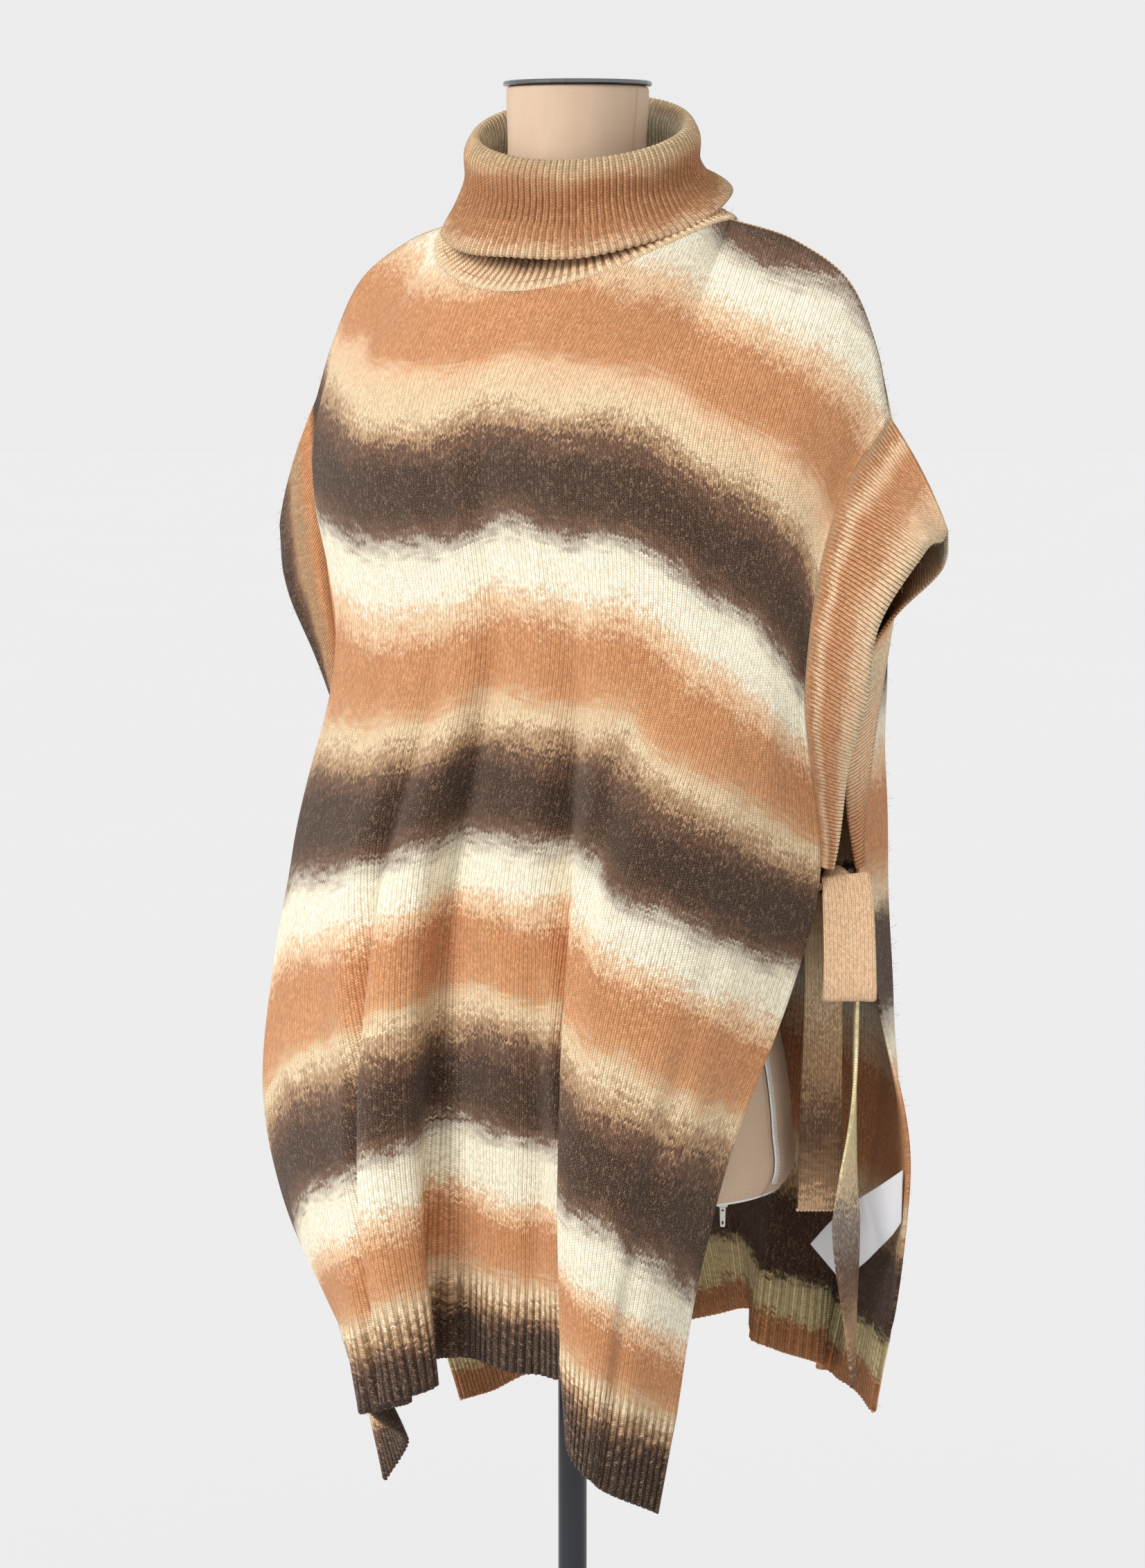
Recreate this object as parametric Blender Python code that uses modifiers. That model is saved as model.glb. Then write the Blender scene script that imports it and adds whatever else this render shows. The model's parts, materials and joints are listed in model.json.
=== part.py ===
# Sleeveless roll-neck poncho sweater on a limbless dress form.
#
# World frame: metres, +Z up, the form faces -Y and the wearer's left is +X.
# The origin is the centre of the base plate's underside, on the pole's axis.
# Tables hold centimetres; their heights are measured down from the top of the
# neck cap, and `place` turns a table's point into a world point.

import math

import bmesh
import bpy
import numpy as np

cm = 0.01

# Driving sizes, metres
CAP_TOP = 1.52              # top of the steel cap over the floor
CLOTH = 0.003               # knitted cloth, wall thickness
TIE_CLOTH = 0.003
SEAM_GAP = 0.0003           # air between neighbouring pieces
RIB_HEIGHT = 0.0016         # how far a rib's crest stands over its valley
LABEL_CLOTH = 0.001

# Counts
PANEL_COLUMNS = 42          # body columns across a panel
RIBS_PER_COLUMN = 1.5       # hem ribs for each body column
PANEL_ROWS = 14             # body rows, shoulder to hem band
TOP_ROWS_CLOSER = 1.25      # the rows crowd towards the shoulder
COLLAR_RIBS = 80            # four rib points for each body column along the neck
BAND_RIBS = 112

HEM_BAND = 0.065            # height of the ribbed hem
HEM_BAND_RISE = 0.006       # the ribs grow to full height over this length


def place(points):
    """World positions of table points given in centimetres under the cap."""
    world = np.asarray(points, dtype=float) * cm
    world[..., 2] += CAP_TOP
    return world


def smooth_through(knots, points, at):
    """Cubic Hermite curve through points at rising knots, read at `at`."""
    knots = np.asarray(knots, dtype=float)
    points = np.asarray(points, dtype=float)
    at = np.asarray(at, dtype=float)
    slopes = np.gradient(points, knots, axis=0)
    cell = np.clip(np.searchsorted(knots, at, side="right") - 1, 0, len(knots) - 2)
    width = knots[cell + 1] - knots[cell]
    t = ((at - knots[cell]) / width)[:, None]
    width = width[:, None]
    return ((2 * t**3 - 3 * t**2 + 1) * points[cell]
            + (t**3 - 2 * t**2 + t) * width * slopes[cell]
            + (3 * t**2 - 2 * t**3) * points[cell + 1]
            + (t**3 - t**2) * width * slopes[cell + 1])


def column(table, names, name):
    """One named column of a table."""
    return np.array([row[names.index(name)] for row in table], dtype=float)


# ---------------------------------------------------------------- neck and shoulders
# The neck seam is one ring; the shoulder seams leave it at both sides.
NECK_HALF_WIDTH = 12.0
NECK_SIDE_Y = 2.7
NECK_FRONT_Y = -8.5
NECK_BACK_Y = 8.5
NECK_SIDE_DOWN = 10.3
NECK_FRONT_DOWN = 15.5
NECK_BACK_DOWN = 8.9
SHOULDER_COLUMNS = 11       # body columns on each side of the neck
SHOULDER_SHARE = SHOULDER_COLUMNS / PANEL_COLUMNS

shoulder_names = ("out", "x", "y", "down")
left_shoulder = (           # neck side to the end of the armhole band's seam
    (0.00, 12.0, 2.7, 10.3),
    (0.30, 17.5, 3.2, 12.0),
    (0.55, 21.8, 3.4, 15.0),
    (0.76, 24.0, 3.2, 19.4),
    (1.00, 25.5, 2.6, 24.6),
)
right_shoulder = (
    (0.00, -12.0, 2.7, 10.3),
    (0.30, -17.5, 3.2, 12.0),
    (0.55, -22.0, 3.4, 15.0),
    (0.76, -24.3, 3.2, 19.4),
    (1.00, -25.8, 2.6, 24.6),
)


def neck_ring(turn):
    """Neck seam, cm: turn 0 is the wearer's left side, a quarter is the back."""
    turn = np.asarray(turn, dtype=float)
    across = np.cos(2 * math.pi * turn)
    along = np.sin(2 * math.pi * turn)
    depth = np.where(along > 0, NECK_BACK_Y - NECK_SIDE_Y, NECK_SIDE_Y - NECK_FRONT_Y)
    end_down = np.where(along > 0, NECK_BACK_DOWN, NECK_FRONT_DOWN)
    down = NECK_SIDE_DOWN + (end_down - NECK_SIDE_DOWN) * np.abs(along) ** 1.6
    return np.stack([NECK_HALF_WIDTH * across, NECK_SIDE_Y + depth * along, -down], axis=-1)


def top_edge(shares, side):
    """Shoulder seam, neck seam, shoulder seam; side is -1 in front, +1 behind."""
    edge = np.zeros((len(shares), 3))
    for i, share in enumerate(shares):
        if share < SHOULDER_SHARE:
            seam, out = right_shoulder, 1 - share / SHOULDER_SHARE
        elif share > 1 - SHOULDER_SHARE:
            seam, out = left_shoulder, (share - 1 + SHOULDER_SHARE) / SHOULDER_SHARE
        else:
            half_way = (share - SHOULDER_SHARE) / (1 - 2 * SHOULDER_SHARE)
            edge[i] = neck_ring([side * 0.5 * (1 - half_way)])[0]
            continue
        outs = column(seam, shoulder_names, "out")
        points = np.stack([column(seam, shoulder_names, "x"), column(seam, shoulder_names, "y"),
                           -column(seam, shoulder_names, "down")], axis=-1)
        edge[i] = smooth_through(outs, points, np.array([out]))[0]
    return edge


# ---------------------------------------------------------------- front and back panels
# Stations down a panel below its top edge: how far they lie under the cap at the
# panel's middle, its wearer's-right edge and its wearer's-left edge.
station_names = ("middle", "right", "left")
stations = {
    "yoke": (24.5, 31.0, 30.0),
    "chest": (41.0, 43.0, 42.5),
    "waist": (60.0, 57.5, 57.5),
    "hip": (79.0, 80.0, 81.0),
}

# One row for each fold line, from the wearer's right to the wearer's left: where it
# crosses the panel (share of the width) and where it hangs at each station.
line_names = ("share", "yoke_x", "yoke_y", "chest_x", "chest_y", "waist_x", "waist_y",
              "hip_x", "hip_y", "hem_x", "hem_y", "hem_down")
front_lines = (
    (0.00, -23.8, 0.6, -22.8, 1.4, -21.5, 2.0, -22.6, -1.2, -16.9, -1.2, 109.0),
    (0.10, -21.6, -3.4, -19.2, -3.0, -22.6, -2.6, -24.0, -6.2, -14.6, -5.2, 105.8),
    (0.22, -17.8, -7.4, -15.2, -8.8, -20.2, -7.8, -18.6, -11.6, -11.2, -11.0, 101.4),
    (0.33, -12.2, -10.4, -9.2, -12.2, -13.9, -12.2, -11.0, -15.4, -8.4, -15.6, 99.0),
    (0.41, -7.2, -11.4, -4.8, -13.2, -8.6, -15.4, -7.2, -18.0, -4.2, -17.6, 96.9),
    (0.47, -3.4, -11.6, -1.4, -13.4, -4.4, -15.0, -3.2, -17.2, -1.4, -16.4, 95.8),
    (0.53, 0.6, -11.6, 2.2, -13.0, -1.2, -13.0, -0.8, -13.6, -1.6, -12.4, 94.6),
    (0.62, 6.2, -11.4, 7.6, -12.8, 4.4, -12.8, 4.4, -13.2, 3.0, -11.8, 95.2),
    (0.71, 12.0, -10.4, 12.6, -12.2, 9.0, -13.0, 8.6, -14.0, 8.2, -12.6, 95.4),
    (0.79, 17.4, -8.2, 17.2, -10.8, 13.0, -14.2, 10.4, -18.2, 10.2, -18.0, 97.8),
    (0.88, 21.8, -5.2, 21.2, -9.2, 18.2, -10.0, 15.8, -16.8, 14.0, -19.0, 100.0),
    (1.00, 24.6, -2.6, 24.2, -6.8, 22.3, -1.5, 18.7, -10.0, 16.1, -13.5, 103.3),
)
back_lines = (
    (0.000, -25.0, 7.0, -24.0, 8.2, -21.4, 5.4, -22.6, 5.8, -18.4, 11.6, 105.6),
    (0.120, -20.5, 10.4, -19.4, 12.0, -20.4, 10.2, -21.2, 10.6, -16.2, 14.8, 104.8),
    (0.240, -14.0, 12.0, -13.0, 13.6, -15.6, 13.8, -15.8, 15.6, -11.4, 18.0, 102.0),
    (0.360, -7.5, 12.8, -6.6, 14.2, -8.8, 15.6, -9.0, 18.2, -5.2, 19.0, 99.6),
    (0.480, -1.0, 13.1, 0.0, 14.5, -2.0, 16.4, -2.2, 18.8, 1.2, 19.2, 97.4),
    (0.580, 5.0, 12.9, 5.6, 14.3, 4.0, 16.2, 3.6, 17.6, 6.4, 16.4, 95.6),
    (0.660, 9.5, 12.5, 10.0, 13.9, 8.8, 15.4, 8.0, 15.6, 8.9, 12.2, 96.2),
    (0.730, 13.4, 12.0, 13.8, 13.2, 12.8, 14.8, 11.8, 14.6, 12.2, 10.4, 96.9),
    (0.785, 16.6, 11.4, 16.6, 12.6, 15.8, 14.2, 14.8, 15.0, 14.6, 12.4, 98.0),
    (0.835, 19.0, 10.6, 18.9, 11.6, 18.4, 13.0, 17.4, 15.0, 13.8, 15.0, 99.4),
    (0.900, 21.8, 9.2, 21.2, 9.8, 21.2, 10.8, 20.8, 12.0, 17.4, 12.8, 99.5),
    (1.000, 24.8, 6.8, 23.2, 6.4, 22.6, 3.6, 26.0, 5.8, 23.1, 6.0, 99.2),
)
FRONT, BACK = -1, 1


def station_rows(lines, side, shares):
    """Curves across the panel at its top edge, its stations and its hem, cm."""
    line_shares = column(lines, line_names, "share")
    rows = [top_edge(shares, side)]
    for name, downs in stations.items():
        middle, right, left = downs
        off_middle = 2 * line_shares - 1
        edge_down = np.where(off_middle < 0, right, left)
        down = middle + (edge_down - middle) * off_middle**2
        points = np.stack([column(lines, line_names, name + "_x"),
                           column(lines, line_names, name + "_y"), -down], axis=-1)
        rows.append(smooth_through(line_shares, points, shares))
    hem = np.stack([column(lines, line_names, "hem_x"), column(lines, line_names, "hem_y"),
                    -column(lines, line_names, "hem_down")], axis=-1)
    rows.append(smooth_through(line_shares, hem, shares))
    return np.stack(rows)


def panel_column_lengths(rows):
    """Cloth length from the top edge to each station, for every column."""
    steps = np.linalg.norm(np.diff(rows, axis=0), axis=-1)
    return np.vstack([np.zeros(rows.shape[1]), np.cumsum(steps, axis=0)])


def panel_grid(lines, side, shares, travels):
    """Middle surface of a panel in metres; travels run 0 at the top to 1 at the hem,
    one row for each line of points and one column for each share."""
    rows = station_rows(lines, side, shares)
    lengths = panel_column_lengths(rows)
    grid = np.zeros((len(travels), len(shares), 3))
    for j in range(len(shares)):
        grid[:, j] = smooth_through(lengths[:, j], rows[:, j], travels[:, j] * lengths[-1, j])
    return place(grid)


def unit(vectors):
    """Vectors scaled to length one."""
    return vectors / np.linalg.norm(vectors, axis=-1, keepdims=True)


def surface_normals(grid, side):
    """Normals of a grid of points; side turns them to the cloth's outer face."""
    across = np.gradient(grid, axis=1)
    down = np.gradient(grid, axis=0)
    return unit(np.cross(across, down)) * side


def seam_normals(edge, shares):
    """Normals along a panel's top edge, which its neighbours share so that the
    end faces of both walls are parallel."""
    along = np.gradient(edge, axis=0)
    ridge = unit(np.cross(along, np.array([0.0, 1.0, 0.0])))
    ridge *= np.sign(ridge[:, 2:3])
    normals = ridge.copy()
    at_neck = np.abs(shares - 0.5) < 0.5 - SHOULDER_SHARE + 0.001
    normals[at_neck] = neck_normals(edge[at_neck])
    return normals


def neck_normals(points):
    """Outward and upward normals shared by the panels and the collar's seam."""
    centre = place([0.0, NECK_SIDE_Y, 0.0])
    out = points - centre
    out[..., 2] = 0
    normals = 0.5 * unit(out)
    normals[..., 2] += 0.85
    return unit(normals)


# ---------------------------------------------------------------- meshes
def new_object(name, bm, material):
    """Object from a bmesh, with its faces turned outwards."""
    bmesh.ops.recalc_face_normals(bm, faces=bm.faces)
    if bm.calc_volume(signed=True) < 0:
        bmesh.ops.reverse_faces(bm, faces=bm.faces)
    mesh = bpy.data.meshes.new(name)
    bm.to_mesh(mesh)
    bm.free()
    mesh.shade_smooth()
    mesh.set_sharp_from_angle(angle=math.radians(50))
    mesh.materials.append(material)
    obj = bpy.data.objects.new(name, mesh)
    part.objects.link(obj)
    return obj


def add_row(bm, points):
    """Vertices for one row of points."""
    return [bm.verts.new(point) for point in points]


def bridge(bm, row_a, row_b):
    """Triangles between two rows of vertices whose counts may differ."""
    i = j = 0
    last_a, last_b = len(row_a) - 1, len(row_b) - 1
    while i < last_a or j < last_b:
        step_a = j == last_b or (i < last_a and (i + 1) * last_b <= (j + 1) * last_a)
        if step_a:
            bm.faces.new((row_a[i], row_a[i + 1], row_b[j]))
            i += 1
        else:
            bm.faces.new((row_a[i], row_b[j + 1], row_b[j]))
            j += 1


def wall(bm, outer, inner):
    """Closed wall between rows of outer points and rows of inner points."""
    outer = [add_row(bm, row) for row in outer]
    inner = [add_row(bm, row) for row in inner]
    for rows in (outer, inner):
        for row_a, row_b in zip(rows, rows[1:]):
            bridge(bm, row_a, row_b)
    for end in (0, -1):
        bridge(bm, outer[end], inner[end])
        bridge(bm, [row[end] for row in outer], [row[end] for row in inner])


def ribbed(points, normals, height=RIB_HEIGHT):
    """Every other point of a row raised to a rib's crest."""
    crest = (np.arange(len(points)) % 2)[:, None]
    return points + normals * height * crest


def panel_body(lines, side):
    """Middle points and normals of a panel's plain rows, top edge to hem."""
    shares = np.linspace(0, 1, PANEL_COLUMNS + 1)
    length = panel_column_lengths(station_rows(lines, side, shares))[-1] * cm
    steps = np.linspace(0, 1, PANEL_ROWS + 1)[:, None] ** TOP_ROWS_CLOSER
    body = steps * (1 - HEM_BAND / length)
    middle = panel_grid(lines, side, shares, np.vstack([body, np.ones((1, len(shares)))]))
    normals = surface_normals(middle, side)
    middle[0] = panel_top(middle[0], shares, side)
    normals[0] = seam_normals(middle[0], shares)
    return middle, normals


def panel_wall(name, lines, side, material):
    """A panel with a plain body and a hem band of raised ribs."""
    middle, normals = panel_body(lines, side)
    shares = np.linspace(0, 1, int(PANEL_COLUMNS * 2 * RIBS_PER_COLUMN) + 1)
    length = panel_column_lengths(station_rows(lines, side, shares))[-1] * cm
    full_height = 1 - (HEM_BAND - HEM_BAND_RISE) / length
    hem = panel_grid(lines, side, shares, np.vstack([full_height, np.ones(len(shares))]))
    hem_normals = surface_normals(hem, side)

    half = CLOTH / 2
    outer = list(middle[:-1] + normals[:-1] * half)
    outer += [ribbed(row + n * half, n) for row, n in zip(hem, hem_normals)]
    inner = list(middle - normals * half)
    bm = bmesh.new()
    wall(bm, outer, inner)
    return new_object(name, bm, material)


def panel_top(edge, shares, side):
    """Top edge drawn back from the seam's line by half a seam gap."""
    moved = edge.copy()
    from_corner = np.abs(shares - 0.5) - (0.5 - SHOULDER_SHARE)
    at_neck = from_corner < -0.001
    moved[~at_neck, 1] += side * SEAM_GAP
    moved[np.abs(from_corner) < 0.001, 1] += side * SEAM_GAP
    out = edge[at_neck] - place([0.0, NECK_SIDE_Y, 0.0])
    out[:, 2] = 0
    moved[at_neck] += unit(out) * SEAM_GAP / 2
    return moved


# ---------------------------------------------------------------- armhole bands
# One row for each place along a band, from its front end over the shoulder to its
# back end: how far its outer edge lies from its seam.
band_names = ("along", "out_x", "out_y", "out_z")
left_band = (
    (0.00, 0.3, 1.2, -0.4),
    (0.12, 0.6, 2.2, -1.2),
    (0.22, 2.2, 2.5, -2.6),
    (0.30, 4.1, 1.6, -2.9),
    (0.39, 5.8, 2.0, -3.6),
    (0.50, 5.0, -0.4, -7.9),
    (0.58, 4.2, -2.2, -6.6),
    (0.66, 2.8, -4.2, -4.6),
    (0.76, 1.5, -5.0, -2.6),
    (0.88, 0.6, -2.8, -1.4),
    (1.00, 0.3, -0.9, -0.4),
)
right_band = (
    (0.00, -0.3, 0.9, -0.6),
    (0.14, -1.2, 1.2, -2.2),
    (0.26, -2.4, 0.8, -4.2),
    (0.38, -3.6, 0.4, -7.0),
    (0.50, -3.7, 0.4, -9.4),
    (0.62, -2.8, -1.6, -6.8),
    (0.74, -1.8, -2.6, -4.2),
    (0.87, -0.8, -2.2, -1.8),
    (1.00, -0.3, -0.9, -0.4),
)
BAND_END = CAP_TOP - 56.5 * cm     # the bands' lower ends
BAND_SEAM_GAP = 0.0006
BAND_BEND = 0.25                    # where the band leaves the panel's own direction
BAND_CROWN = 0.003


def panel_edge(lines, side, edge_column, count):
    """A panel's side edge from its shoulder to its waist, along the edge's own
    straight pieces: points, the direction out of the panel, and normals."""
    middle, normals = panel_body(lines, side)
    inner_column = 1 if edge_column == 0 else -2
    edge = middle[:-1, edge_column]
    normals = normals[:-1, edge_column]
    out = unit(np.cross(np.gradient(edge, axis=0), normals))
    out *= np.sign(np.sum(out * (edge - middle[:-1, inner_column]), axis=-1, keepdims=True))
    height = -np.interp(-BAND_END, -edge[:, 2], np.arange(len(edge)))
    places = np.linspace(0, -height, count)
    row = np.arange(len(edge))
    return [np.stack([np.interp(places, row, values[:, k]) for k in range(3)], axis=-1)
            for values in (edge, out, normals)]


def band_wall(name, table, edge_column, material):
    """A ribbed band along both panels' side edges, open below."""
    half_count = BAND_RIBS + 1
    front = panel_edge(front_lines, FRONT, edge_column, half_count)
    back = panel_edge(back_lines, BACK, edge_column, half_count)
    points, out, normals = (np.concatenate([f[:0:-1], [(f[0] + b[0]) / 2], b[1:]])
                            for f, b in zip(front, back))
    along = np.linspace(0, 1, len(points))
    offsets = np.stack([column(table, band_names, "out_x"), column(table, band_names, "out_y"),
                        column(table, band_names, "out_z")], axis=-1) * cm
    offsets = smooth_through(column(table, band_names, "along"), offsets, along)
    seam = points + out * BAND_SEAM_GAP
    middle = np.stack([seam, seam + offsets * BAND_BEND + normals * BAND_CROWN, seam + offsets])
    own = unit(np.cross(np.gradient(middle, axis=1), np.gradient(middle, axis=0)))
    own *= np.sign(np.sum(own[1] * normals, axis=-1).mean())
    own[0] = normals
    own[1] = unit(own[1] + normals)
    half = CLOTH / 2
    outer = [middle[0] + normals * half]
    outer += [ribbed(middle[k] + own[k] * half, own[k]) for k in (1, 2)]
    inner = [middle[k] - own[k] * half for k in range(3)]
    inner = [inner[0], inner[1][::4], inner[2][::4]]
    bm = bmesh.new()
    wall(bm, outer, inner)
    return new_object(name, bm, material)


# ---------------------------------------------------------------- collar
# The ribbed tube from its neck seam up to the fold and down to its loose edge. Each
# ring is an ellipse whose height leans from side to side and from front to back.
ring_names = ("half_width", "half_depth", "centre_y", "down", "lean_left", "lean_back")
collar_rings = (
    (9.6, 7.4, 0.4, 9.3, 0.10, 2.2),       # top of the spread base
    (7.9, 7.0, 0.8, 6.9, 0.30, 2.5),       # neck wall
    (7.6, 6.9, 1.2, 4.3, 0.80, 2.5),       # inside the fold
    (8.15, 7.4, 1.3, 3.45, 0.85, 2.5),     # the fold's ridge
    (8.7, 7.95, 1.3, 4.2, 0.85, 2.5),      # turned down
    (8.85, 8.1, 1.35, 6.6, 0.75, 2.6),
    (9.3, 8.5, 1.5, 8.2, 0.6, 2.9),        # the flare
    (10.9, 9.8, 2.0, 9.45, 0.25, 3.5),     # loose edge
)
FIRST_TURNED_RING = 4                      # ribs show on the other face from here


def collar_ring(row, turn):
    """One ring of the collar, cm."""
    half_width, half_depth, centre_y, down, lean_left, lean_back = row
    across = np.cos(2 * math.pi * turn)
    along = np.sin(2 * math.pi * turn)
    height = -down - lean_left * across + lean_back * along
    return np.stack([half_width * across, centre_y + half_depth * along, height], axis=-1)


def collar_rows(turn):
    """Middle surface of the collar's tube, metres, from its seam to its loose edge."""
    column_turn = np.linspace(0, 1, 2 * (PANEL_COLUMNS - 2 * SHOULDER_COLUMNS) + 1)
    ring = place(neck_ring(column_turn))        # straight between the panels' columns
    seam = np.stack([np.interp(turn, column_turn, ring[:, k]) for k in range(3)], axis=-1)
    out = seam - place([0.0, NECK_SIDE_Y, 0.0])
    out[:, 2] = 0
    seam -= unit(out) * SEAM_GAP
    return np.stack([seam] + [place(collar_ring(row, turn)) for row in collar_rings])


def collar_wall(name, material):
    """The collar as a closed ring of wall with ribs on the faces that show."""
    fine_turn = np.linspace(0, 1, 2 * COLLAR_RIBS + 1)
    coarse_turn = fine_turn[::4]
    sides = {}
    for label, turn in (("fine", fine_turn), ("coarse", coarse_turn)):
        middle = collar_rows(turn)
        across = np.gradient(middle, axis=1)
        across[:, 0] = across[:, -1] = (middle[:, 1] - middle[:, -2]) / 2
        down = np.gradient(middle, axis=0)
        normals = unit(np.cross(across, down))
        normals[0] = neck_normals(middle[0])
        if normals[1, 0, 0] < 0:
            normals[1:] *= -1
        sides[label] = (middle, normals)
    half = CLOTH / 2
    last = len(collar_rings)
    first_face = []                     # the face outside below the fold
    for k in range(last + 1):
        middle, normals = sides["fine" if k < 3 else "coarse"]
        row = middle[k] + normals[k] * half
        first_face.append(ribbed(row, normals[k]) if 0 < k < 3 else row)
    second_face = []                    # the face outside above the fold
    for k in range(last, -1, -1):
        shows = k >= FIRST_TURNED_RING
        middle, normals = sides["fine" if shows else "coarse"]
        row = middle[k] - normals[k] * half
        second_face.append(ribbed(row, -normals[k]) if shows else row)
    bm = bmesh.new()
    loops = []
    for row in first_face + second_face:
        verts = add_row(bm, row[:-1])
        loops.append(verts + verts[:1])
    for loop_a, loop_b in zip(loops, loops[1:] + loops[:1]):
        bridge(bm, loop_a, loop_b)
    return new_object(name, bm, material)


# ---------------------------------------------------------------- ties, knots and label
# Each tie hangs from its knot in its own frame: across its face, behind its face and
# up from the knot's middle, in centimetres; turn is about the vertical, in degrees.
tie_names = ("across", "behind", "up", "width", "turn")
bow_loop = (
    (0.00, -1.50, -0.6, 1.8, 0),
    (0.50, -2.10, -2.4, 3.0, 0),
    (0.90, -2.30, -5.5, 3.5, 0),
    (0.95, -2.20, -8.3, 3.8, 0),
    (0.95, -1.60, -9.1, 3.8, 0),
    (0.95, -1.00, -8.3, 3.8, 0),
    (0.90, -0.90, -5.5, 3.5, 0),
    (0.50, -1.00, -2.8, 3.0, 0),
    (0.10, -0.80, -1.5, 1.8, 0),
)
short_tail = (
    (-0.50, 0.50, -1.5, 1.6, 0),
    (-0.90, 0.90, -4.0, 2.6, 0),
    (-0.80, 1.10, -9.0, 2.8, -2),
    (-0.90, 1.20, -17.0, 3.1, 0),
    (-0.95, 1.15, -25.3, 3.3, 2),
)
long_tail = (
    (0.95, 0.35, -1.4, 1.2, 60),
    (1.40, 0.80, -4.5, 2.3, 88),
    (1.60, 0.90, -10.0, 2.6, 90),
    (1.50, 0.90, -17.0, 2.9, 84),
    (1.10, 0.90, -23.0, 3.2, 62),
    (1.00, 0.80, -27.0, 3.2, 48),
    (1.30, 0.80, -33.0, 2.6, 64),
    (1.60, 0.80, -38.7, 0.9, 80),
)
tie_sides = {
    # knot's middle and radii, the face's direction, and how the hidden side, which
    # hangs between closer edges, spreads its ties; lifts draw each tie's top up to
    # the knot, and root_end is how far off its middle the gathered ends stop
    "left": {"knot": (22.3, 1.1, -58.3), "radii": (1.1, 1.25, 1.2), "face": 33.0,
             "mirror": 1, "spread": 1.0, "squeeze": 1.0, "twist": 1.0,
             "front_root": (20.87, -2.4, -58.9), "back_root": (21.56, 4.94, -57.6),
             "root_end": 1.03, "lifts": {"bow_loop": 0.51, "short_tail": 0.44, "long_tail": 0.47}},
    "right": {"knot": (-21.5, 3.7, -58.9), "radii": (1.1, 0.7, 1.2), "face": 0.0,
              "mirror": -1, "spread": 1.5, "squeeze": 0.62, "twist": 0.1,
              "front_root": (-20.52, 1.31, -58.4), "back_root": (-20.13, 6.21, -59.2),
              "root_end": 1.08, "lifts": {"bow_loop": 0.3, "short_tail": 0.45, "long_tail": 0.7}},
}


def ribbon(name, middle, half_across, thickness, material):
    """A flat strip through middle points with half-width vectors, in metres."""
    along = unit(np.gradient(middle, axis=0))
    normal = unit(np.cross(half_across, along)) * thickness / 2
    bm = bmesh.new()
    loops = []
    for centre, a, n in zip(middle, half_across, normal):
        verts = add_row(bm, (centre - a - n, centre - n, centre + a - n,
                             centre + a + n, centre + n, centre - a + n))
        loops.append(verts + verts[:1])
    for loop_a, loop_b in zip(loops, loops[1:]):
        bridge(bm, loop_a, loop_b)
    for loop in (loops[0], loops[-1]):
        bm.faces.new(loop[:-1])
    return new_object(name, bm, material)


def tie(name, table, lift, hang, steps, material):
    """One hanging tie of a side's knot."""
    table = np.asarray(table, dtype=float)
    rows = smooth_through(np.linspace(0, 1, len(table)), table, np.linspace(0, 1, steps + 1))
    across, behind, up, width, turn = rows.T
    across = across * hang["spread"]
    behind = behind * hang["squeeze"]
    face = math.radians(hang["face"])
    x = across * math.cos(face) - behind * math.sin(face)
    y = across * math.sin(face) + behind * math.cos(face)
    middle = np.stack([hang["mirror"] * x, y, up + lift], axis=-1) + hang["knot"]
    angle = face + np.radians(turn) * hang["twist"]
    half = np.stack([hang["mirror"] * np.cos(angle), np.sin(angle), np.zeros(len(rows))], axis=-1)
    half *= width[:, None] * cm / 2
    along = unit(np.gradient(middle, axis=0))
    half -= along * np.sum(half * along, axis=-1, keepdims=True)
    return ribbon(name, place(middle), half, TIE_CLOTH, material)


def tie_root(name, start, hang, material):
    """The short gathered end that runs from a panel's edge to the knot."""
    start = np.array(start)
    knot = np.array(hang["knot"])
    reach = knot - start
    radii = np.array(hang["radii"])
    to_surface = 1 - hang["root_end"] / np.linalg.norm(reach / radii)
    shares = np.linspace(0, to_surface, 5)[:, None]
    middle = place(start + reach * shares)
    half = np.tile([0.006, 0.0, 0.0], (5, 1)) * np.linspace(1.1, 0.8, 5)[:, None]
    along = unit(np.gradient(middle, axis=0))
    half -= along * np.sum(half * along, axis=-1, keepdims=True)
    return ribbon(name, middle, half, TIE_CLOTH, material)


def knot(name, hang, material):
    """The tightened knot, a rounded lump."""
    bm = bmesh.new()
    bmesh.ops.create_uvsphere(bm, u_segments=14, v_segments=8, radius=cm)
    bmesh.ops.scale(bm, vec=hang["radii"], verts=bm.verts)
    bmesh.ops.translate(bm, vec=place(hang["knot"]), verts=bm.verts)
    return new_object(name, bm, material)


# The care label is sewn inside the back panel's left edge and hangs inwards.
label_names = ("x", "y", "up", "half_x", "half_y", "half_up")
label_path = (
    (25.42, 5.93, -82.4, -0.05, 0.0, -2.0),
    (24.2, 5.6, -83.6, 0.4, 0.3, -1.9),
    (22.4, 5.8, -85.0, 0.9, 0.6, -1.7),
    (20.6, 6.2, -86.6, 1.08, 0.7, -1.6),
    (18.6, 6.5, -88.4, 1.0, 0.6, -1.4),
)


def care_label(name, material):
    """A plain satin label."""
    knots = np.linspace(0, 1, len(label_path))
    rows = smooth_through(knots, label_path, np.linspace(0, 1, 9))
    return ribbon(name, place(rows[:, :3]), rows[:, 3:] * cm, LABEL_CLOTH, material)


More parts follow.
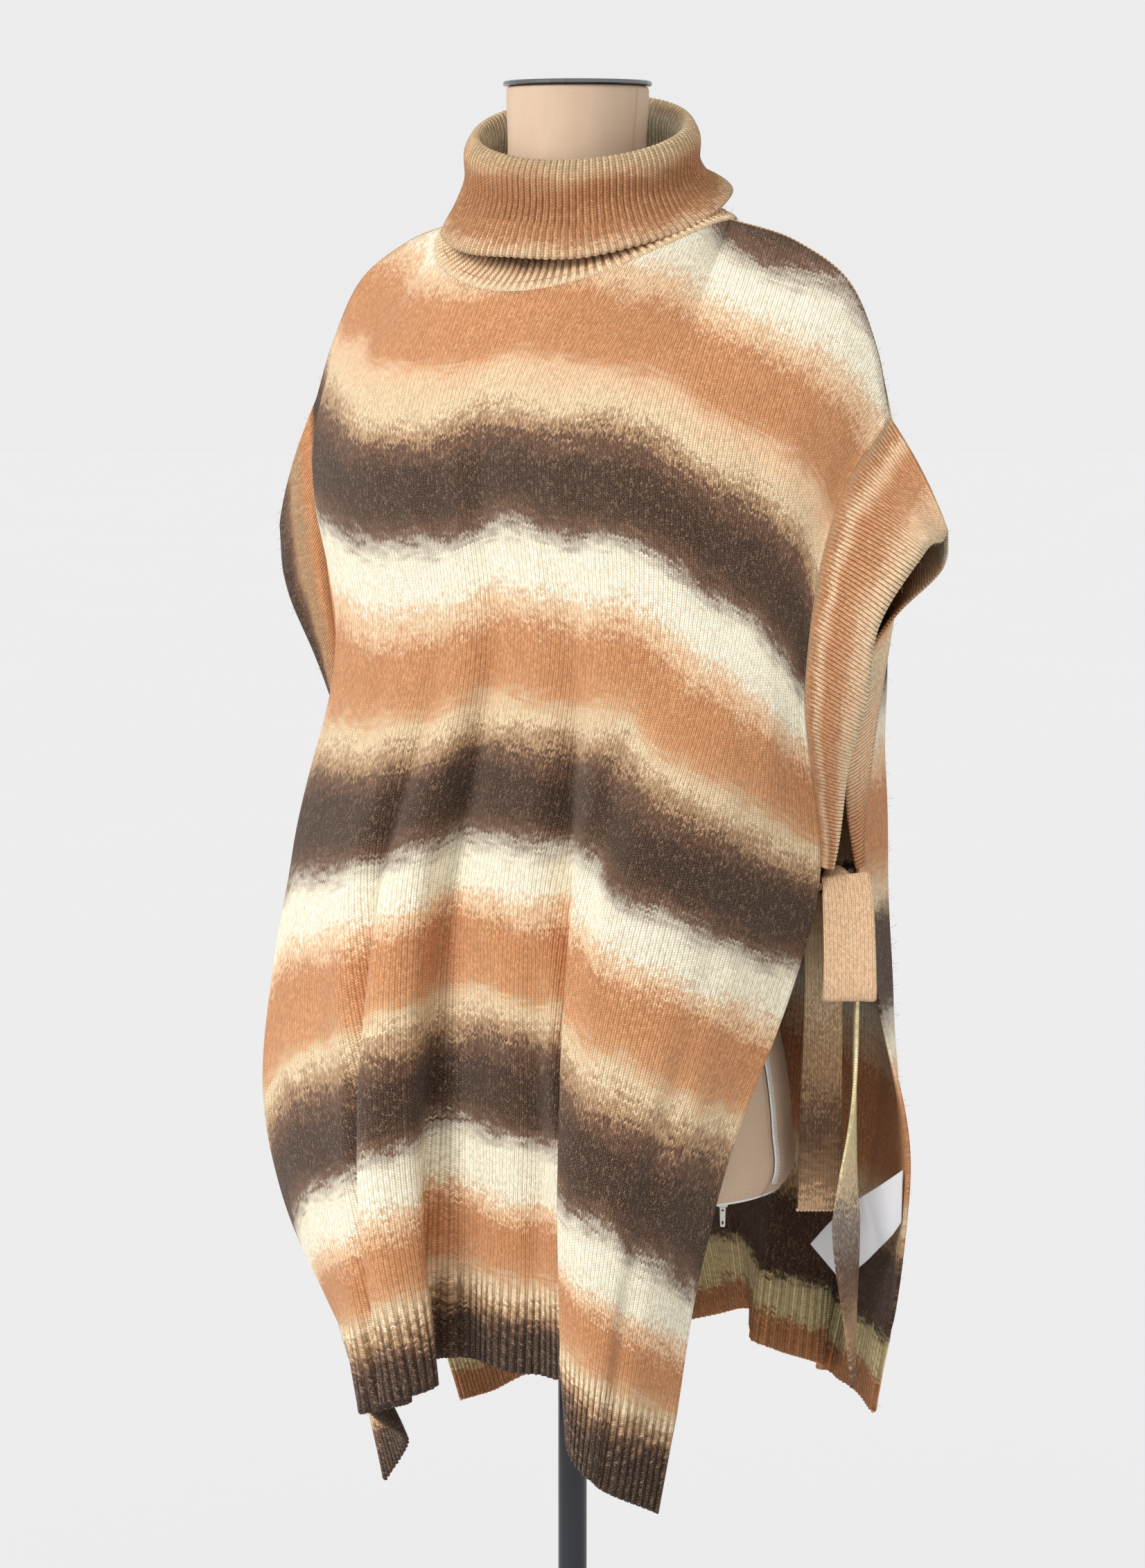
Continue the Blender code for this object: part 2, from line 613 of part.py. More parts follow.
# ---------------------------------------------------------------- dress form
# One row for each level of the form: its height, half width, half depth, the y of
# its middle, and how square its corners are.
form_names = ("down", "half_width", "half_depth", "centre_y", "squareness")
form_levels = (
    (0.38, 5.30, 5.30, 0.7, 2.0),
    (8.0, 5.60, 5.60, 0.8, 2.0),
    (10.4, 7.00, 5.70, 1.2, 2.0),
    (12.1, 11.2, 4.00, 2.1, 2.0),
    (14.0, 16.0, 3.23, 2.9, 2.0),
    (16.4, 18.8, 3.80, 2.9, 2.0),
    (19.8, 19.5, 6.20, 2.2, 2.0),
    (24.0, 18.6, 9.20, 1.2, 2.0),
    (30.0, 17.4, 10.2, 0.7, 2.1),
    (39.0, 16.4, 10.9, 0.3, 2.2),
    (50.0, 14.6, 10.2, 0.0, 2.2),
    (59.0, 13.9, 9.60, 0.0, 2.2),
    (69.0, 16.4, 11.0, 0.0, 2.2),
    (77.0, 17.7, 11.8, 0.0, 2.2),
    (81.4, 17.6, 11.8, 0.0, 2.2),
    (82.6, 16.8, 11.1, 0.0, 2.2),
)
FORM_BOTTOM = 82.6
FORM_SIDES = 32


def form_level(row, angles):
    """One level of the form's outline, cm."""
    down, half_width, half_depth, centre_y, squareness = row
    power = 2 / squareness
    across = np.sign(np.cos(angles)) * np.abs(np.cos(angles)) ** power
    along = np.sign(np.sin(angles)) * np.abs(np.sin(angles)) ** power
    return np.stack([half_width * across, centre_y + half_depth * along,
                     np.full(len(angles), -down)], axis=-1)


def dress_form(name, material):
    """Torso and neck in one smooth closed shape."""
    angles = np.linspace(0, 2 * math.pi, FORM_SIDES, endpoint=False)
    bm = bmesh.new()
    loops = []
    for row in form_levels:
        verts = add_row(bm, place(form_level(row, angles)))
        loops.append(verts + verts[:1])
    for loop_a, loop_b in zip(loops, loops[1:]):
        bridge(bm, loop_a, loop_b)
    for loop in (loops[0], loops[-1]):
        bm.faces.new(loop[:-1])
    return new_object(name, bm, material)


ZIP_TOP = 30.0


def zip_tape(name, material):
    """The side zip's tape, laid on the form's left side from bust to hem."""
    middle = np.stack([form_level(row, np.array([0.0]))[0] for row in form_levels
                       if ZIP_TOP <= row[0] < FORM_BOTTOM])
    middle[:, 0] += 0.12
    half = np.tile([0.0, 0.0028, 0.0], (len(middle), 1))
    return ribbon(name, place(middle), half, 0.0012, material)


def turned(name, profile, material, sides=40):
    """A solid turned about the pole's axis; the profile runs from its top down."""
    mesh = bpy.data.meshes.new(name)
    verts = [(radius * cm, 0.0, height * cm) for radius, height in profile]
    mesh.from_pydata(verts, [(i, i + 1) for i in range(len(verts) - 1)], [])
    mesh.materials.append(material)
    obj = bpy.data.objects.new(name, mesh)
    part.objects.link(obj)
    screw = obj.modifiers.new("Turn", "SCREW")
    screw.steps = screw.render_steps = sides
    screw.use_merge_vertices = True
    screw.merge_threshold = 0.00001
    screw.use_smooth_shade = True
    return obj


BASE_RADIUS = 19.0
BASE_THICKNESS = 1.2
HUB_TOP = 4.0
POLE_RADIUS = 1.1
base_profile = (
    (0.0, HUB_TOP), (1.7, HUB_TOP), (2.0, 3.7), (2.3, 1.9), (3.2, 1.5), (BASE_RADIUS - 0.6, 1.25),
    (BASE_RADIUS - 0.15, 1.05), (BASE_RADIUS, 0.7), (BASE_RADIUS, 0.0), (0.0, 0.0),
)


def pole(name, material):
    """The tube between the base's hub and the form's underside."""
    gap = SEAM_GAP / cm
    top = CAP_TOP / cm - FORM_BOTTOM - gap
    profile = ((0.0, top), (POLE_RADIUS, top), (POLE_RADIUS, HUB_TOP + gap), (0.0, HUB_TOP + gap))
    return turned(name, profile, material, sides=24)


def neck_cap(name, material):
    """The steel disc on the neck, 0.3 mm above the cloth of the form."""
    bm = bmesh.new()
    bmesh.ops.create_cone(bm, cap_ends=True, segments=32, radius1=0.0555, radius2=0.0555,
                          depth=0.0035)
    bmesh.ops.translate(bm, vec=place([0.0, 0.7, -0.175]), verts=bm.verts)
    obj = new_object(name, bm, material)
    bevel = obj.modifiers.new("Rounded rim", "BEVEL")
    bevel.width = 0.0008
    bevel.segments = 1
    return obj


# The zip's slider is fixed under the form's edge and its pull tab swings below it.
ZIP_SLIDER = (14.6, -2.0, -82.84)
ZIP_TURN = math.radians(33)
ZIP_PIN_DOWN = 0.31             # from the slider's middle to the tab's pin
TAB_SIZE = (0.42, 0.12, 1.45)
TAB_OVER_PIN = 0.06


def block(name, size, centre, material, bevel_width):
    """A small rounded block turned to face front-left, its origin at the pin."""
    bm = bmesh.new()
    bmesh.ops.create_cube(bm, size=1.0)
    bmesh.ops.scale(bm, vec=np.array(size) * cm, verts=bm.verts)
    bmesh.ops.translate(bm, vec=np.array(centre) * cm, verts=bm.verts)
    obj = new_object(name, bm, material)
    pin = np.array(ZIP_SLIDER) - (0.0, 0.0, ZIP_PIN_DOWN)
    obj.location = place(pin)
    obj.rotation_euler = (0.0, 0.0, ZIP_TURN)
    bevel = obj.modifiers.new("Rounded", "BEVEL")
    bevel.width = bevel_width
    bevel.segments = 1
    return obj


# ---------------------------------------------------------------- materials
def finish(name, colour, roughness, metallic=0.0):
    """A plain Principled material."""
    material = bpy.data.materials.new(name)
    material.use_nodes = True
    shader = material.node_tree.nodes["Principled BSDF"]
    shader.inputs["Base Color"].default_value = (*colour, 1.0)
    shader.inputs["Roughness"].default_value = roughness
    shader.inputs["Metallic"].default_value = metallic
    material.diffuse_color = (*colour, 1.0)
    return material


for old in list(bpy.data.objects):
    bpy.data.objects.remove(old, do_unlink=True)
part = bpy.data.collections.new("sleeveless_turtleneck_on_dress_form")
bpy.context.scene.collection.children.link(part)

striped_knit = finish("striped_knit", (0.58, 0.32, 0.16), 0.95)
collar_knit = finish("collar_knit", (0.60, 0.36, 0.18), 0.95)
satin = finish("label_satin", (0.88, 0.88, 0.90), 0.45)
form_linen = finish("form_linen", (0.60, 0.45, 0.33), 0.85)
tape_white = finish("zip_tape", (0.80, 0.77, 0.70), 0.7)
steel = finish("cap_steel", (0.55, 0.56, 0.58), 0.3, 1.0)
pole_paint = finish("pole_paint", (0.02, 0.025, 0.035), 0.35)
zip_metal = finish("zip_metal", (0.80, 0.80, 0.78), 0.35, 0.6)

# the garment
panel_wall("front_panel", front_lines, FRONT, striped_knit)
panel_wall("back_panel", back_lines, BACK, striped_knit)
collar_wall("collar", collar_knit)
band_wall("armband_left", left_band, -1, striped_knit)
band_wall("armband_right", right_band, 0, striped_knit)
for side_name, hang in tie_sides.items():
    lifts = hang["lifts"]
    tie("bow_loop_" + side_name, bow_loop, lifts["bow_loop"], hang, 16, striped_knit)
    tie("short_tail_" + side_name, short_tail, lifts["short_tail"], hang, 12, striped_knit)
    tie("long_tail_" + side_name, long_tail, lifts["long_tail"], hang, 16, striped_knit)
    tie_root("front_tie_" + side_name, hang["front_root"], hang, striped_knit)
    tie_root("back_tie_" + side_name, hang["back_root"], hang, striped_knit)
    knot("knot_" + side_name, hang, striped_knit)
care_label("care_label", satin)

# the dress form
dress_form("dress_form", form_linen)
zip_tape("form_zip_tape", tape_white)
block("form_zip_slider", (0.75, 0.45, 0.40), (0.0, 0.0, ZIP_PIN_DOWN), zip_metal, 0.0006)
block("form_zip_pull", TAB_SIZE, (0.0, 0.0, TAB_OVER_PIN - TAB_SIZE[2] / 2), zip_metal, 0.0003)
neck_cap("neck_cap", steel)
pole("pole", pole_paint)
turned("base_plate", base_profile, pole_paint, sides=36)
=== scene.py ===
# Sleeveless roll-neck poncho sweater in striped brushed knit, hung on a dress form.
# Metres, +Z up; the form faces -Y and the wearer's left is +X.
# Shape tables hold centimetres, with heights measured down from the top of the cap.

import json
import math

import bpy
import numpy as np
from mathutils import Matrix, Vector

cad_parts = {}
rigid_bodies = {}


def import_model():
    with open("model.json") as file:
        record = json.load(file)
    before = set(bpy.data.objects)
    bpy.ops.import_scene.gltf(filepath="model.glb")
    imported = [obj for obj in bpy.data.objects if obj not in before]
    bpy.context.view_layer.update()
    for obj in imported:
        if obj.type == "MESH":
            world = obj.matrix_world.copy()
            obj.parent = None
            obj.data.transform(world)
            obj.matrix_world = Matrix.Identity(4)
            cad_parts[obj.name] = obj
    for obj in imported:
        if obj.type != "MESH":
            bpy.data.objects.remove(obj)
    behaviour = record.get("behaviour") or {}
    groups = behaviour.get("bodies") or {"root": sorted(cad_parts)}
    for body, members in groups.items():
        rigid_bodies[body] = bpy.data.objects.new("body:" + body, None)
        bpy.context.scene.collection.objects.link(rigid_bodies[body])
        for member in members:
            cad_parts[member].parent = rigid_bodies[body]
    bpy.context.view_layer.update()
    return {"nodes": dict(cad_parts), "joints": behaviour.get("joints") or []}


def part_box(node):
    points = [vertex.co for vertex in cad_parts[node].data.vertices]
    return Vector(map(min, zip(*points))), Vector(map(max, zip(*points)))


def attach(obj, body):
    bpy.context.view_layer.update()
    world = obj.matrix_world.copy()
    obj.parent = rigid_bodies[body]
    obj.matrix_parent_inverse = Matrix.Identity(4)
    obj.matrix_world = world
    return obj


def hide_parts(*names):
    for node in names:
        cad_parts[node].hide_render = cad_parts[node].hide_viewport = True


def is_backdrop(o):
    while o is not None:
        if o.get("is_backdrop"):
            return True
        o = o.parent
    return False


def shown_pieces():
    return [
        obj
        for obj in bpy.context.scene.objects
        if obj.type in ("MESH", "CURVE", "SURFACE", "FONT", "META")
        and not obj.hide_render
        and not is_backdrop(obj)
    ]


for old in list(bpy.data.objects):
    bpy.data.objects.remove(old, do_unlink=True)
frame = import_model()
print("frame loaded,", len(frame["nodes"]), "solids")

cm = 0.01
mm = 0.001
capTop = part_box("neck_cap")[1][2]
scene = bpy.context.scene


# small helpers

def place(points):                      # table centimetres to world metres
    world = np.asarray(points, dtype=float) * cm
    world[..., 2] += capTop
    return world


def unit(vectors):
    return vectors / np.maximum(np.linalg.norm(vectors, axis=-1, keepdims=True), 1e-12)


def smoothThrough(knots, points, at):   # cubic Hermite curve through rising knots
    knots = np.asarray(knots, dtype=float)
    points = np.asarray(points, dtype=float)
    at = np.asarray(at, dtype=float)
    slopes = np.gradient(points, knots, axis=0)
    cell = np.clip(np.searchsorted(knots, at, side="right") - 1, 0, len(knots) - 2)
    width = knots[cell + 1] - knots[cell]
    t = ((at - knots[cell]) / width)[:, None]
    width = width[:, None]
    return ((2 * t**3 - 3 * t**2 + 1) * points[cell]
            + (t**3 - 2 * t**2 + t) * width * slopes[cell]
            + (3 * t**2 - 2 * t**3) * points[cell + 1]
            + (t**3 - t**2) * width * slopes[cell + 1])


def smoothStep(low, high, values):
    t = np.clip((values - low) / (high - low), 0, 1)
    return t * t * (3 - 2 * t)


def evenly(table, count):               # the table's rows, smoothed to an even count
    return smoothThrough(np.linspace(0, 1, len(table)), table, np.linspace(0, 1, count))


def fullCircle(count):
    return np.linspace(0, 2 * math.pi, count, endpoint=False)


def powered(wave, power):               # below 1 squares a wave up, above 1 sharpens it
    return np.sign(wave) * np.abs(wave) ** power


def ribWave(ribsPassed):
    return powered(-np.cos(2 * math.pi * ribsPassed), 0.7)


def lengthAlong(points):
    return np.concatenate([[0], np.cumsum(np.linalg.norm(np.diff(points, axis=0), axis=1))])


def perPoint(a, b, c):                  # three numbers for every point of a line or grid
    return np.stack(np.broadcast_arrays(a, b, c), axis=-1)


def newObject(name, mesh, material=None):
    obj = bpy.data.objects.new(name, mesh)
    scene.collection.objects.link(obj)
    if material:
        mesh.materials.append(material)
    return obj


# A grid of points becomes a mesh; cloth holds metres across, metres along and a
# free number for each point, for the materials to read.
def gridMesh(name, points, cloth, closed=False, caps=False):
    rows, columns = points.shape[:2]
    index = np.arange(rows * columns).reshape(rows, columns)
    if closed:
        index = np.concatenate([index, index[:, :1]], axis=1)
    quads = np.stack([index[:-1, :-1], index[:-1, 1:], index[1:, 1:], index[1:, :-1]], axis=-1)
    faces = quads.reshape(-1, 4).tolist()
    if caps:
        faces.append(list(range(columns))[::-1])
        faces.append(list(range((rows - 1) * columns, rows * columns)))
    mesh = bpy.data.meshes.new(name)
    mesh.from_pydata(points.reshape(-1, 3).tolist(), [], faces)
    layer = mesh.attributes.new("cloth", "FLOAT_VECTOR", "POINT")
    layer.data.foreach_set("vector", cloth.reshape(-1, 3).astype(np.float32).ravel())
    mesh.shade_smooth()
    return mesh


def turnOutwards(mesh):                 # a closed mesh that came out inside out is turned
    points = np.array([v.co for v in mesh.vertices])
    volume = 0.0
    for face in mesh.polygons:
        a, b, c = points[face.vertices[0]], points[face.vertices[1]], points[face.vertices[2]]
        volume += np.dot(a, np.cross(b, c))
        if len(face.vertices) == 4:
            volume += np.dot(a, np.cross(c, points[face.vertices[3]]))
    if volume < 0:
        mesh.flip_normals()


def closedPiece(name, points, cloth, material):
    mesh = gridMesh(name, points, cloth, closed=True, caps=True)
    turnOutwards(mesh)
    return newObject(name, mesh, material)


def settle(obj):                        # modifiers into a plain mesh
    graph = bpy.context.evaluated_depsgraph_get()
    mesh = bpy.data.meshes.new_from_object(obj.evaluated_get(graph))
    mesh.name = obj.name
    obj.modifiers.clear()
    old, obj.data = obj.data, mesh
    if old.users == 0 and isinstance(old, bpy.types.Mesh):
        bpy.data.meshes.remove(old)
    return obj


def thicken(obj, thickness):            # a sheet becomes a closed shell about its middle
    solid = obj.modifiers.new("cloth wall", "SOLIDIFY")
    solid.thickness = thickness
    solid.offset = 0.0
    solid.use_rim = True
    return settle(obj)


def hexColour(text):                    # "#rrggbb" as linear light
    parts = [int(text[i:i + 2], 16) / 255 for i in (1, 3, 5)]
    return tuple(p / 12.92 if p <= 0.04045 else ((p + 0.055) / 1.055) ** 2.4 for p in parts)


# material helpers

def addNode(tree, kind, inputs=None, **settings):
    made = tree.nodes.new(kind)
    for name, value in settings.items():
        setattr(made, name, value)
    for name, value in (inputs or {}).items():
        if isinstance(value, bpy.types.NodeSocket):
            tree.links.new(value, made.inputs[name])
        else:
            made.inputs[name].default_value = value
    return made


def calc(tree, operation, a, b=0.0, c=0.0):
    return addNode(tree, "ShaderNodeMath", {0: a, 1: b, 2: c}, operation=operation).outputs[0]


def blendColours(tree, factor, a, b, mode="MIX"):
    made = tree.nodes.new("ShaderNodeMix")
    made.data_type = "RGBA"
    made.blend_type = mode
    for socket, value in ((made.inputs[0], factor), (made.inputs[6], a), (made.inputs[7], b)):
        if isinstance(value, bpy.types.NodeSocket):
            tree.links.new(value, socket)
        else:
            socket.default_value = (*value, 1.0) if isinstance(value, tuple) else value
    return made.outputs[2]


def noiseOf(tree, vector, scale, detail, **more):
    return addNode(tree, "ShaderNodeTexNoise",
                   {"Vector": vector, "Scale": scale, "Detail": detail, **more}).outputs[0]


def shaded(tree, colour, red, green, blue):
    tone = addNode(tree, "ShaderNodeCombineColor", {0: red, 1: green, 2: blue})
    return blendColours(tree, 1.0, colour, tone.outputs[0], "MULTIPLY")


def bumped(tree, shader, height, distance, strength):
    relieved = addNode(tree, "ShaderNodeBump",
                       {"Height": height, "Distance": distance, "Strength": strength})
    tree.links.new(relieved.outputs[0], shader.inputs["Normal"])


def setInputs(shader, values):
    for name, value in values.items():
        shader.inputs[name].default_value = value


def newMaterial(name):
    material = bpy.data.materials.new(name)
    material.use_nodes = True
    tree = material.node_tree
    return material, tree, tree.nodes["Principled BSDF"]


def rampOf(tree, factor, stops):        # stops are (place from 0 to 1, linear colour)
    made = tree.nodes.new("ShaderNodeValToRGB")
    tree.links.new(factor, made.inputs[0])
    elements = made.color_ramp.elements
    while len(elements) > 1:
        elements.remove(elements[-1])
    elements[0].position, elements[0].color = stops[0][0], (*stops[0][1], 1.0)
    for position, colour in stops[1:]:
        elements.new(position).color = (*colour, 1.0)
    made.color_ramp.interpolation = "EASE"
    return made.outputs[0]


# yarn colours and the stripe plan

yarn = {tone: hexColour(code) for tone, code in {
    "rust": "#CB8D5F", "orange": "#D19769", "peach": "#EEC59C", "beige": "#E8CDA6",
    "tan": "#B4906C", "dark": "#3F2A20", "brown": "#6A4B39", "grey": "#8F8276",
    "ash": "#C4B8A6", "cream": "#FAF1D6", "gold": "#F2E2AE",
}.items()}

stripePlan = {                          # centimetres of cloth up from a hem
    "span": 110.0,
    "front": (
        (0.0, "dark"), (2.6, "dark"), (3.6, "brown"), (4.6, "tan"), (6.4, "beige"),
        (8.0, "orange"), (9.6, "rust"), (11.2, "rust"), (12.8, "peach"), (14.4, "cream"),
        (16.8, "cream"), (17.8, "ash"), (18.7, "brown"), (20.2, "dark"), (22.4, "dark"),
        (24.4, "brown"), (25.6, "tan"), (27.4, "beige"), (29.0, "orange"), (31.0, "rust"),
        (32.8, "rust"), (34.6, "peach"), (36.4, "cream"), (38.2, "cream"), (39.3, "ash"),
        (40.4, "brown"), (42.0, "dark"), (44.0, "dark"),
    ),
    "yoke": (                           # the same stripes from the waist up
        (0.0, "dark"), (44.4, "dark"), (46.2, "brown"), (47.4, "tan"), (49.4, "beige"),
        (51.2, "orange"), (53.0, "rust"), (55.0, "rust"), (57.2, "peach"), (59.2, "cream"),
        (61.4, "cream"), (62.4, "ash"), (63.4, "brown"), (65.2, "dark"), (67.4, "dark"),
        (69.6, "brown"), (70.6, "tan"), (72.2, "beige"), (74.6, "peach"), (76.4, "rust"),
        (80.4, "rust"), (82.8, "peach"), (85.2, "cream"), (87.2, "cream"), (88.4, "ash"),
        (89.6, "brown"), (92.0, "dark"), (97.0, "dark"), (100.0, "tan"),
    ),
    "back": (
        (0.0, "rust"), (2.0, "rust"), (3.0, "gold"), (5.2, "gold"), (6.2, "dark"),
        (11.4, "dark"), (13.0, "tan"), (14.6, "beige"), (18.0, "rust"), (24.0, "rust"),
        (26.2, "peach"), (28.6, "cream"), (30.4, "ash"), (31.6, "dark"), (37.6, "dark"),
        (40.0, "beige"), (43.0, "rust"), (47.4, "rust"), (49.8, "peach"), (52.4, "cream"),
        (54.6, "ash"), (56.0, "dark"), (62.0, "dark"), (64.4, "beige"), (68.0, "rust"),
        (73.4, "peach"), (76.4, "cream"), (79.0, "dark"), (85.0, "dark"), (90.0, "tan"),
    ),
    "collar": (                         # along the tube, from the neck seam
        (0.0, "beige"), (1.2, "peach"), (2.0, "tan"), (2.8, "brown"), (4.4, "tan"),
        (6.2, "cream"), (8.4, "cream"), (9.3, "beige"), (10.0, "beige"), (10.9, "peach"),
        (11.8, "orange"), (12.9, "rust"), (14.2, "orange"), (15.5, "orange"), (16.4, "peach"),
        (17.4, "beige"),
    ),
    "bandLeft": (                       # from the seam to the free edge, then along the back
        (0.0, "tan"), (0.8, "rust"), (1.8, "peach"), (3.0, "rust"), (5.0, "orange"),
        (7.0, "peach"), (9.0, "beige"), (14.0, "cream"), (18.0, "peach"), (24.0, "rust"),
        (30.0, "beige"), (37.0, "peach"), (44.0, "rust"), (52.0, "tan"),
    ),
    "bandRight": (
        (0.0, "rust"), (1.6, "rust"), (3.4, "tan"), (4.8, "tan"), (6.2, "brown"),
        (7.6, "dark"), (20.0, "dark"), (26.0, "rust"), (34.0, "cream"),
    ),
    "peachTie": ((0.0, "rust"), (2.0, "peach"), (30.0, "peach")),
    "tanTie": ((0.0, "peach"), (0.9, "peach"), (1.2, "tan"), (6.0, "brown"), (11.0, "tan"),
               (18.0, "beige"), (24.0, "tan"), (30.0, "brown")),
    "creamTie": ((0.0, "brown"), (4.0, "tan"), (8.0, "brown"), (12.0, "grey"), (15.5, "beige"),
                 (18.0, "gold"), (36.0, "gold")),
    "darkTie": ((0.0, "brown"), (2.0, "dark"), (4.0, "cream")),
}

knitting = {
    "wale": 2.8 * mm,                   # width of one column of stitches
    "course": 2.0 * mm,                 # height of one row
    "slant": 2.0,                       # how far a stitch's legs lean, in rows
    "bump": 1.1 * mm,
    "marl": 1.9 * cm,                   # how far stitches stray into the next stripe
    "strayShare": 0.45,                 # of that, stitch by stitch
    "yarnShare": 1.35,                  # and along the yarn
    "yarnRun": (0.24, 5.17, 1.0),       # how fast the yarn's shade turns, per column and row
    "wander": 2.4 * cm,                 # slow wander of a stripe's edge
    "wanderScale": 26.0, "hairScale": 1400.0,
    "legRound": 0.45, "cleft": (5.0, 0.35),     # a leg's arch, and the groove between two
    # a factor and a start for each shade
    "stitchShade": (0.62, 0.60), "strayShade": (0.32, 0.85), "hairShade": (0.62, 0.72),
    "ribShade": (0.30, 0.11),
    "warmth": (1.12, 1.28),             # green and blue fall off faster between stitches
    "hairShare": (7.0, -3.7), "hairBump": 0.45,
    "hairStrength": (0.30, 0.10),       # in the darkest stripe, and added everywhere
    "darkOnly": 5.0,                    # how soon that fades as a stripe gets lighter
    "bumpStrength": 0.75, "roughness": (0.12, 0.84),
    "paleFrom": 0.86, "paleStrength": 0.07,
    "hemRib": 560 * mm / 96,            # one rib and its valley
    "collarRib": 4.8 * mm, "bandRib": 3.8 * mm,
    "ribStart": 0.9 * cm,               # where the ribs are fully up, past a seam
}


def rampOfStops(tree, where, stops):
    return rampOf(tree, where, [(height / stripePlan["span"], yarn[tone])
                                for height, tone in stops])


def knitMaterial(name, stops, marl=knitting["marl"], marlAxis=1, upper=None, upperFrom=0.0,
                 rib=None, ribbedBand=False):
    material, tree, shader = newMaterial(name)
    coords = addNode(tree, "ShaderNodeAttribute", attribute_name="cloth")
    split = addNode(tree, "ShaderNodeSeparateXYZ", {0: coords.outputs["Vector"]})
    across, along = split.outputs[0], split.outputs[1]

    # columns of stitches, two to a rib, and rows that rise along both legs of a stitch
    stitch = calc(tree, "MULTIPLY_ADD", across, 2 / rib if rib else 1 / knitting["wale"], 0.5)
    side = calc(tree, "SUBTRACT", calc(tree, "FRACT", stitch), 0.5)
    leg = calc(tree, "ABSOLUTE", side)
    row = calc(tree, "ADD", calc(tree, "DIVIDE", along, knitting["course"]),
               calc(tree, "MULTIPLY", leg, knitting["slant"]))
    inRow = calc(tree, "FRACT", row)
    half = calc(tree, "MULTIPLY", calc(tree, "GREATER_THAN", side, 0.0), 0.5)
    column = calc(tree, "ADD", calc(tree, "FLOOR", stitch), half)
    cell = addNode(tree, "ShaderNodeCombineXYZ", {0: column, 1: calc(tree, "FLOOR", row)})
    stray = addNode(tree, "ShaderNodeTexWhiteNoise", {"Vector": cell.outputs[0]},
                    noise_dimensions="2D").outputs["Value"]
    plane = addNode(tree, "ShaderNodeCombineXYZ", {0: across, 1: along}).outputs[0]
    wander = noiseOf(tree, plane, knitting["wanderScale"], 3.0)
    yarnRun = addNode(tree, "ShaderNodeMapping",
                      {"Vector": cell.outputs[0], "Scale": knitting["yarnRun"]})
    yarnTurn = noiseOf(tree, yarnRun.outputs[0], 1.0, 1.0)

    # each stitch takes its colour from a little above or below, which marls the stripes
    reached = split.outputs[marlAxis]
    for chance, reach in ((stray, knitting["strayShare"] * marl),
                          (yarnTurn, knitting["yarnShare"] * marl),
                          (wander, knitting["wander"])):
        reached = calc(tree, "MULTIPLY_ADD", calc(tree, "SUBTRACT", chance, 0.5), reach, reached)
    where = calc(tree, "DIVIDE", reached, stripePlan["span"] * cm)
    colour = rampOfStops(tree, where, stops)
    if upper:                           # a ramp holds 32 stops, so a long plan uses two
        colour = blendColours(tree, calc(tree, "GREATER_THAN", reached, upperFrom), colour,
                              rampOfStops(tree, where, upper))

    # the leg of a stitch is round, with a groove between the legs and between columns
    arch = calc(tree, "SINE", calc(tree, "MULTIPLY", inRow, math.pi))
    arch = calc(tree, "POWER", arch, knitting["legRound"])
    gutter = calc(tree, "SUBTRACT", 1.0,
                  calc(tree, "POWER", calc(tree, "MULTIPLY", leg, 2.0), 4.0))
    cleft = calc(tree, "MULTIPLY_ADD", leg, *knitting["cleft"])
    relief = calc(tree, "MULTIPLY", calc(tree, "MULTIPLY", arch, gutter),
                  calc(tree, "MINIMUM", cleft, 1.0))
    halo = noiseOf(tree, plane, knitting["hairScale"], 3.0, Roughness=0.7)

    # painted shade: the colour darkens in the grooves between stitch legs and between columns
    shade = calc(tree, "MULTIPLY_ADD", relief, *knitting["stitchShade"])
    for chance, tone in ((stray, "strayShade"), (halo, "hairShade")):
        shade = calc(tree, "MULTIPLY", shade, calc(tree, "MULTIPLY_ADD", chance, *knitting[tone]))
    if rib:                             # the purl columns lie in the shade of the ribs
        valley = calc(tree, "COSINE", calc(tree, "MULTIPLY", across, 2 * math.pi / rib))
        ribbing = split.outputs[2]
        if not ribbedBand:
            ribbing = calc(tree, "MINIMUM",
                           calc(tree, "DIVIDE", along, knitting["ribStart"]), 1.0)
        hollow = calc(tree, "MULTIPLY",
                      calc(tree, "MULTIPLY_ADD", valley, *knitting["ribShade"]), ribbing)
        shade = calc(tree, "MULTIPLY", shade, calc(tree, "SUBTRACT", 1.0, hollow))

    # pale hairs of the marl: a few stitches everywhere, and fine ones in the darker stripes
    lightness = addNode(tree, "ShaderNodeRGBToBW", {0: colour}).outputs[0]
    depth = calc(tree, "POWER", calc(tree, "SUBTRACT", 1.0, lightness), knitting["darkOnly"])
    hair = calc(tree, "MULTIPLY_ADD", halo, *knitting["hairShare"])
    hair = calc(tree, "MAXIMUM", calc(tree, "MINIMUM", hair, 1.0), 0.0)
    hair = calc(tree, "MULTIPLY", hair,
                calc(tree, "MULTIPLY_ADD", depth, *knitting["hairStrength"]))
    colour = blendColours(tree, hair, colour, yarn["beige"])
    paleStitch = calc(tree, "MULTIPLY", calc(tree, "GREATER_THAN", stray, knitting["paleFrom"]),
                      knitting["paleStrength"])
    colour = blendColours(tree, paleStitch, colour, yarn["peach"])
